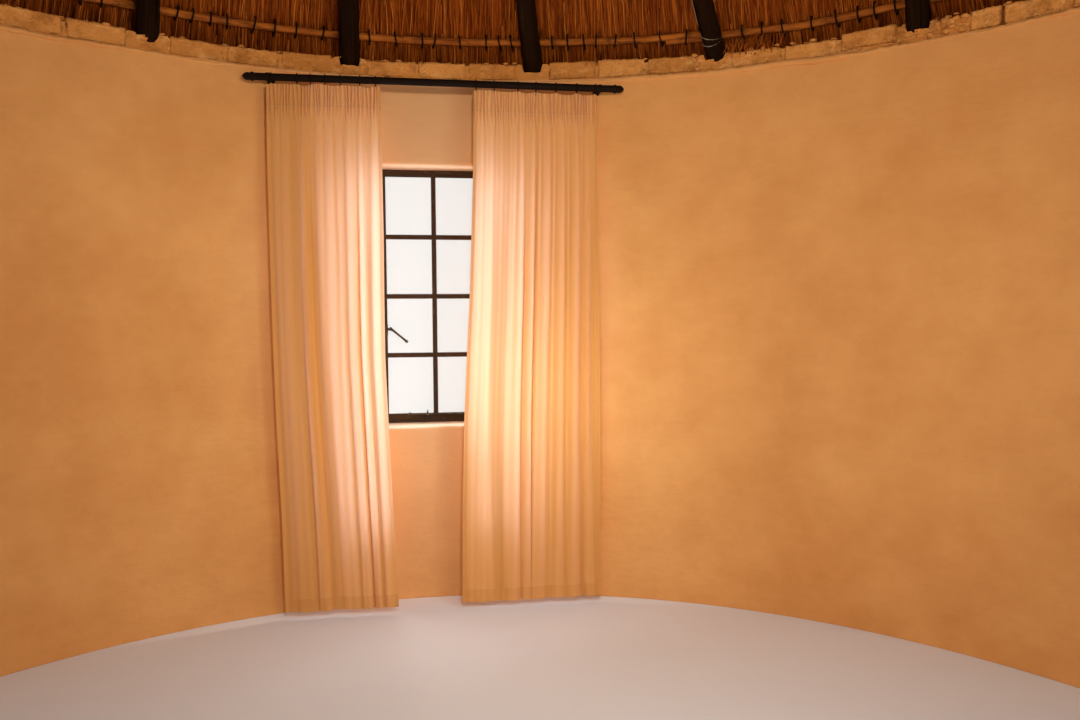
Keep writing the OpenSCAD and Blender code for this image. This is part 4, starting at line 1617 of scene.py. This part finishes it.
def peg_stay():
    """Stay bar with five holes along the bottom rail, its pivot, its peg and two lugs"""
    low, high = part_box("casement_stay")
    bar_y, bar_z = FRAME_Y - 0.012, SILL_Z + 0.040
    bar_w, bar_t, end_corners = 0.014, 0.005, 9
    first_hole, hole_pitch, holes, hole_r = 0.058, 0.040, 5, 0.003
    rim = []
    for side, middle in ((1, high.x - bar_w / 2), (-1, low.x + bar_w / 2)):
        for k in range(end_corners):
            turn = side * math.pi / 2 - math.pi * k / (end_corners - 1)
            rim.append((middle + bar_w / 2 * math.cos(turn), bar_y + bar_w / 2 * math.sin(turn), bar_z))
    bar = drawn("stay_bar", rim, (0, 0, bar_t))
    punch = joined("punch", [settle(added(
        "hole", bpy.ops.mesh.primitive_cylinder_add, vertices=16, radius=hole_r, depth=0.02,
        location=(low.x + first_hole + hole_pitch * k, bar_y, bar_z + bar_t / 2))) for k in range(holes)])
    modified(bar, "BOOLEAN", object=punch, operation="DIFFERENCE", solver="EXACT")
    bpy.data.objects.remove(punch)
    modified(bar, "BEVEL", width=0.0006, segments=2, limit_method="ANGLE")
    pivot = [(0, 0.006), (0.005, 0.006), (0.008, 0.004), (0.009, 0)]
    peg = [(0, 0), (0.0005, 0.0024), (0.018, 0.0024), (0.0185, 0.0040), (0.021, 0.0044), (0.026, 0.0026),
           (0.030, 0.0040), (0.033, 0.0030), (0.034, 0)]
    peg_x = low.x + first_hole + hole_pitch
    parts = [bar, turned("pivot", pivot, (low.x + 0.012, bar_y, bar_z + bar_t - 0.001), STRAIGHT_UP, 16),
             turned("peg", peg, (peg_x, bar_y, bar_z - 0.012), STRAIGHT_UP, 16)]
    lug_y, lug_depth, lug_h = bar_y - 0.006 + 0.0115, 0.023, 0.0058
    for x, z, width in ((peg_x, bar_z - 0.015, 0.028), (high.x - 0.014, bar_z - 0.003, 0.020)):
        parts.append(block("lug", (x, lug_y, z), (width, lug_depth, lug_h), 0.0020))
    return joined("peg_stay", parts)


# Curtains

HEM_DEPTH = 0.060
HEADING_DEPTH = 0.092
SIDE_HEM = 0.022
CLOTH_T = 0.0012
CURTAIN_TOP = 2.4085
CURTAIN_FOOT = 0.032
# Heights at which a curtain's edges are given, from its heading to its hem
EDGE_ZS = [2.405, 2.05, 1.75, 1.46, 1.20, 0.90, 0.48, 0.03]


@dataclass
class Curtain:
    """Where one curtain's edges run, and how its fullness falls into folds"""
    name: str
    node: str
    left_xs: list
    right_xs: list
    flat_w: float
    pleats: int
    folds: float
    # How dark a shadow is painted down its left side, 0 to 1
    left_painted_shadow: float
    rings: list
    seed: int

    def edges(self, z):
        heights = EDGE_ZS[::-1]
        return (float(np.interp(z, heights, self.left_xs[::-1])),
                float(np.interp(z, heights, self.right_xs[::-1])))


LEFT = Curtain(
    name="linen_curtain_left", node="curtain_left",
    left_xs=[-0.727, -0.731, -0.730, -0.729, -0.726, -0.721, -0.708, -0.702],
    right_xs=[-0.237, -0.233, -0.232, -0.234, -0.234, -0.224, -0.209, -0.191],
    flat_w=0.72, pleats=33, folds=6.2, left_painted_shadow=0.65,
    rings=[-0.707, -0.596, -0.538, -0.476, -0.410, -0.326, -0.257], seed=3)
RIGHT = Curtain(
    name="linen_curtain_right", node="curtain_right",
    left_xs=[0.180, 0.174, 0.164, 0.153, 0.138, 0.123, 0.110, 0.105],
    right_xs=[0.752, 0.756, 0.759, 0.763, 0.766, 0.768, 0.770, 0.771],
    flat_w=0.87, pleats=38, folds=7.1, left_painted_shadow=0,
    rings=[0.191, 0.274, 0.383, 0.466, 0.559, 0.656, 0.745], seed=8)


def smooth_step(value):
    value = np.clip(value, 0, 1)
    return value * value * (3 - 2 * value)


def wave(along, cycles, phase):
    return np.sin(math.tau * cycles * along + phase)


def curtain_surface(c, columns, heights):
    """Points of the hanging cloth, row by row from its heading down, and how much painted shade each takes
    """
    rng = np.random.default_rng(c.seed)
    s = np.linspace(0, 1, columns)
    turns = rng.uniform(0, math.tau, 16)
    widths = rng.uniform(0.65, 1.45, c.pleats)
    pleat_ends = np.concatenate([[0], np.cumsum(widths) / np.sum(widths)])
    depths = np.repeat(rng.uniform(0.0030, 0.0068, c.pleats), 2)[:c.pleats + 1]
    tape_foot = CURTAIN_TOP - HEADING_DEPTH
    rows = []
    painted_shade = []
    for z in heights:
        down = (CURTAIN_TOP - z) / (CURTAIN_TOP - CURTAIN_FOOT)
        left, right = c.edges(z)
        # Pleats die out below the tape, and folds grow there
        below = smooth_step((tape_foot - z) / 0.06)
        pleated = 1 - smooth_step((tape_foot - z) / 0.09)
        grown = smooth_step((tape_foot - z) / 0.9)
        warp = (0.060 * wave(s, 1, turns[0] + 0.5 * down) + 0.030 * wave(s, 2.3, turns[1])
                + 0.012 * wave(s, 4.1, turns[2] - 1.2 * down))
        angle = math.tau * c.folds * (s + warp) + turns[3] + 0.5 * wave(down, 0.7, turns[4])
        size = 0.70 + 0.30 * wave(s, 1.9, turns[5] + 1.6 * down)
        broad = np.sin(angle + 0.20 * np.sin(angle)) * size
        half = np.sin(0.5 * angle + turns[6] + 0.8 * down)
        small = wave(s + warp * 0.5, c.folds * 2.3, turns[7] + 0.9 * down)
        fine = wave(s, c.folds * 3.7, turns[8] - 0.7 * down)

        in_heading = np.clip((CURTAIN_TOP - z) / HEADING_DEPTH, 0, 1)
        lean = (0.0050 * wave(s, 5, turns[9] + 1.3 * in_heading)
                + 0.0035 * wave(s, 11, turns[10] - 2.1 * in_heading))
        pleat_phase = np.interp(np.clip(s + lean, 0, 1), pleat_ends, np.arange(c.pleats + 1))
        valley = np.abs(np.cos(math.pi * pleat_phase)) ** 2.2
        pleat = (valley - 0.35) * 2 * np.interp(s, pleat_ends, depths)
        waist = math.exp(-((z - tape_foot) / 0.005) ** 2)
        tuck = 0.0035 * smooth_step((tape_foot + 0.004 - z) / 0.012) * (1 - grown)
        y = (broad * (0.0016 + 0.0066 * grown) + half * 0.0050 * grown + small * (0.0006 + 0.0010 * below)
             + fine * (0.0003 + 0.0006 * below * (1 - 0.8 * grown))
             + pleat * pleated * (1 - 0.5 * waist) - tuck)
        sway = (right - left) / c.folds * 0.08 * np.cos(angle) * grown * np.sin(math.pi * s)
        x = left + (right - left) * s + sway
        rows.append(np.stack([x, POLE_Y + y, np.full(columns, z)], 1))

        # Painted shade: darker, less translucent cloth where a fold falls back and in the pleats' valleys,
        # and a painted shadow down the left curtain's left side
        back = smooth_step(broad + 0.20) * (0.35 + 0.65 * grown) + 0.18 * smooth_step((small - 0.3) / 0.7)
        pleat_valley_shade = smooth_step((valley - 0.25) / 0.6) * (0.55 + 0.45 * wave(s, 7.3, turns[12]) ** 2)
        left_painted_shadow = c.left_painted_shadow * (1 - smooth_step((s - 0.26) / 0.16))
        painted_shade_below, painted_shade_above = np.clip([back + left_painted_shadow, pleat_valley_shade + left_painted_shadow], 0, 1)
        painted_shade.append(painted_shade_below * below + painted_shade_above * (1 - below))
    return np.array(rows), np.array(painted_shade)


def curtain_heights():
    """Close rows through the heading and just under it, wider ones below"""
    heading = np.linspace(CURTAIN_TOP, CURTAIN_TOP - HEADING_DEPTH - 0.02, 14)
    neck = np.linspace(heading[-1], heading[-1] - 0.25, 14)[1:]
    fall = np.linspace(neck[-1], CURTAIN_FOOT, 44)[1:]
    return np.concatenate([heading, neck, fall])


def let_hang(c, surface, heights):
    """Lets the heading sag or stand a little between the rings"""
    rng = np.random.default_rng(c.seed + 1)
    ring_xs = np.array(c.rings)
    hangs = rng.uniform(-0.006, 0.010, len(c.rings) + 1)
    for i, z in enumerate(heights):
        held = math.exp(-(CURTAIN_TOP - z) / 0.05)
        xs = surface[i, :, 0]
        near = np.min(np.abs(xs[:, None] - ring_xs[None, :]), 1)
        surface[i, :, 2] -= hangs[np.searchsorted(ring_xs, xs)] * held * smooth_step(near / 0.030)


def curtain(c, material):
    """Gathered linen on pencil-pleat tape, turned into a thin closed sheet"""
    columns = c.pleats * 8 + 1
    heights = curtain_heights()
    surface, painted_shade = curtain_surface(c, columns, heights)
    let_hang(c, surface, heights)
    cloth = added(c.name, bpy.ops.mesh.primitive_grid_add, size=1,
                  x_subdivisions=columns - 1, y_subdivisions=len(heights) - 1)
    grid = np.array([v.co for v in cloth.data.vertices])
    # The grid's points in reading order, as the rows of the surface run
    order = np.lexsort((grid[:, 0], -grid[:, 1]))

    def by_point(values):
        sorted_out = np.zeros((len(order), *values.shape[2:]))
        sorted_out[order] = values.reshape(-1, *values.shape[2:])
        return sorted_out

    across, down = np.meshgrid(np.linspace(0, c.flat_w, columns), heights - CURTAIN_FOOT)
    cloth.data.vertices.foreach_set("co", by_point(surface).ravel())
    cut = cloth.data.uv_layers[0]
    cut.name = "cut"
    corners = np.zeros(len(cloth.data.loops), int)
    cloth.data.loops.foreach_get("vertex_index", corners)
    cut.data.foreach_set("uv", by_point(np.stack([across, down], 2))[corners].ravel())
    valued(cloth, "side_hem", by_point(np.minimum(across, c.flat_w - across) < SIDE_HEM))
    valued(cloth, "painted_shade", by_point(painted_shade))
    with editing(cloth):
        outward()
    modified(cloth, "SOLIDIFY", thickness=CLOTH_T, offset=0.0)
    finished(cloth, material, [c.node], smooth=80)


def rings():
    """Rings where the curtains hang from them, turned one way on the left and the other on the right"""
    low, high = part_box("curtain_rings")
    wire, left_turn, right_turn = 0.005, math.radians(5), math.radians(-4)
    return joined("rings", [settle(added(
        "ring", bpy.ops.mesh.primitive_torus_add, major_radius=(high.z - low.z - wire) / 2,
        minor_radius=wire / 2, major_segments=36, minor_segments=10,
        location=(x, POLE_Y, (high.z + low.z) / 2),
        rotation=(0, math.radians(90), left_turn if x < 0 else right_turn)))
        for x in LEFT.rings + RIGHT.rings])


def ring_hooks():
    """Wire eye under each ring and the hook that goes into the tape"""
    made = []
    ring_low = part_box("curtain_rings")[0].z
    wire_r, hook_l = 0.0012, 0.0146
    hook = [(0, 0), (0.0004, wire_r), (hook_l - 0.0006, wire_r), (hook_l, 0)]
    for x in LEFT.rings + RIGHT.rings:
        made.append(settle(added(
            "eye", bpy.ops.mesh.primitive_torus_add, major_radius=0.0036, minor_radius=0.0010,
            major_segments=12, minor_segments=6, location=(x, POLE_Y + 0.004, ring_low - 0.0030),
            rotation=(math.radians(90), 0, 0))))
        made.append(turned("hook", hook, (x, POLE_Y + 0.009, ring_low - 0.0200), (0, -0.3, 1), 8))
    return joined("ring_hooks", made)


def end_knobs():
    """Turned end knobs: a swell, a bead and a long rounded cap"""
    low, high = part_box("curtain_pole")
    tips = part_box("pole_knobs")
    # Distances along a knob, and how much thicker than the pole it is there
    swells = [(0.0004, 0), (0.004, 0.0006), (0.009, 0.0022), (0.012, 0.0040), (0.016, 0.0040),
              (0.019, 0.0020), (0.021, -0.0012), (0.024, -0.0002), (0.030, 0.0010), (0.037, 0.0004),
              (0.044, -0.0022), (0.050, -0.0062)]
    made = []
    for end, tip in ((low.x, tips[0].x), (high.x, tips[1].x)):
        length = abs(tip - end)
        rim = [(along, POLE_D / 2 + swell) for along, swell in swells + [(length - 0.0012, -0.0110)]]
        profile = [(0, 0)] + rim + [(length, 0)]
        made.append(turned("knob", profile, (end, POLE_Y, POLE_Z), (tip - end, 0, 0), 32))
    return joined("end_knobs", made)


def wall_brackets():
    """A plate on the wall, an arm and a cup for each end of the pole, tucked in behind the headings"""
    low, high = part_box("pole_brackets")
    plate_r, plate_t, arm_r, into_plate = 0.017, 0.006, 0.006, 0.004
    cup_l, cup_r, bevel = 0.014, POLE_D / 2 + 0.0025, 0.001
    plate = [(0, 0), (0, plate_r), (plate_t * 0.6, plate_r), (plate_t, plate_r - 0.002), (plate_t, 0)]
    cup = [(0, 0), (0, cup_r - bevel), (bevel, cup_r), (cup_l - bevel, cup_r),
           (cup_l, cup_r - bevel), (cup_l, 0)]
    made = []
    for x in (low.x + 0.046, high.x - 0.046):
        wall_y = HUB.y + math.sqrt(INNER_R ** 2 - x * x)
        inward = Vector((-x, HUB.y - wall_y, 0)).normalized()
        made.append(turned("plate", plate, Vector((x, wall_y, POLE_Z)) + inward * 0.0005, inward, 28))
        reach = wall_y - into_plate - (POLE_Y + POLE_D / 2)
        arm = [(0, 0), (0, arm_r), (reach - 0.010, arm_r), (reach - 0.006, arm_r + 0.002),
               (reach, arm_r + 0.002), (reach, 0)]
        made.append(turned("arm", arm, (x, wall_y - into_plate, POLE_Z), (0, -1, 0), 20))
        made.append(turned("cup", cup, (x - cup_l / 2, POLE_Y, POLE_Z), (1, 0, 0), 32))
    return joined("wall_brackets", made)


# Making

def make_wall():
    plaster = limewash()
    wall = finished(plaster_wall(), plaster, WALL_NODES, smooth=40)
    slack = 0.01
    faced(wall, cut_brickwork(),
          lambda point: not LEFT_END + slack < angle_of(point) < RIGHT_END - slack)
    finished(plaster_lip(), plaster, smooth=60)
    finished(outer_sill(), plaster, ["outer_sill"])
    brick = limewashed_brick()
    for bay in range(1, BAYS + 1):
        finished(brick_bay(bay), brick, [f"brick_course_{bay}"], smooth=50)
    finished(course_mortar(), brick, smooth=60)
    finished(packing(), brick, smooth=70)


def make_roof():
    pole, peeled, twine = smoked_pole(), sapling(), tarred_twine()
    rafters = [finished(rafter(k), pole, [f"rafter_{k + 1}"], smooth=45)
               for k in range(BAYS + 1)]
    wired = 4
    foot_wire(wired, rafters[wired])
    tie = tie_master()
    for k in range(len(LATH_RS)):
        finished(lath(k), peeled, [f"lath_{k + 1}"], smooth=60)
        finished(lath_ties(k, tie), twine, smooth=60)
    bpy.data.objects.remove(tie)
    bed, ends, reed = packed_reed(), cut_butts(), dry_reed()
    stem, butt = reed_master(), reed_master(5, 0)
    for bay in range(1, BAYS + 1):
        body = finished(thatch_body(bay), bed, [f"thatch_{bay}"], smooth=30)
        faced(body, ends, is_cut_reed)
        finished(under_reeds(bay, stem), reed, smooth=130)
        finished(coat_reeds(bay, stem), reed, smooth=130)
        finished(cut_reeds(bay, butt), reed, smooth=75)
    finished(loose_tips(stem), reed, smooth=130)
    bpy.data.objects.remove(stem)
    bpy.data.objects.remove(butt)


def make_window():
    steel, fittings = painted_steel(), worn_fittings()
    for node in ("window_frame", "casement_leaf", "casement_hinges"):
        repainted(node, steel)
    finished(glazing_bars(), steel)
    finished(panes(), old_glass(), ["window_glass"])
    finished(putty_fillets(), putty())
    finished(lever_handle(), fittings, ["casement_handle"])
    finished(peg_stay(), fittings, ["casement_stay"])


def make_curtains():
    iron = black_iron()
    repainted("curtain_pole", iron)
    finished(end_knobs(), iron, ["pole_knobs"], smooth=50)
    finished(wall_brackets(), iron, ["pole_brackets"], smooth=40)
    finished(rings(), iron, ["curtain_rings"], smooth=60)
    cloth = linen()
    for each in (LEFT, RIGHT):
        curtain(each, cloth)
    finished(ring_hooks(), worn_fittings())


set_camera()
set_studio()
make_wall()
make_roof()
make_window()
make_curtains()
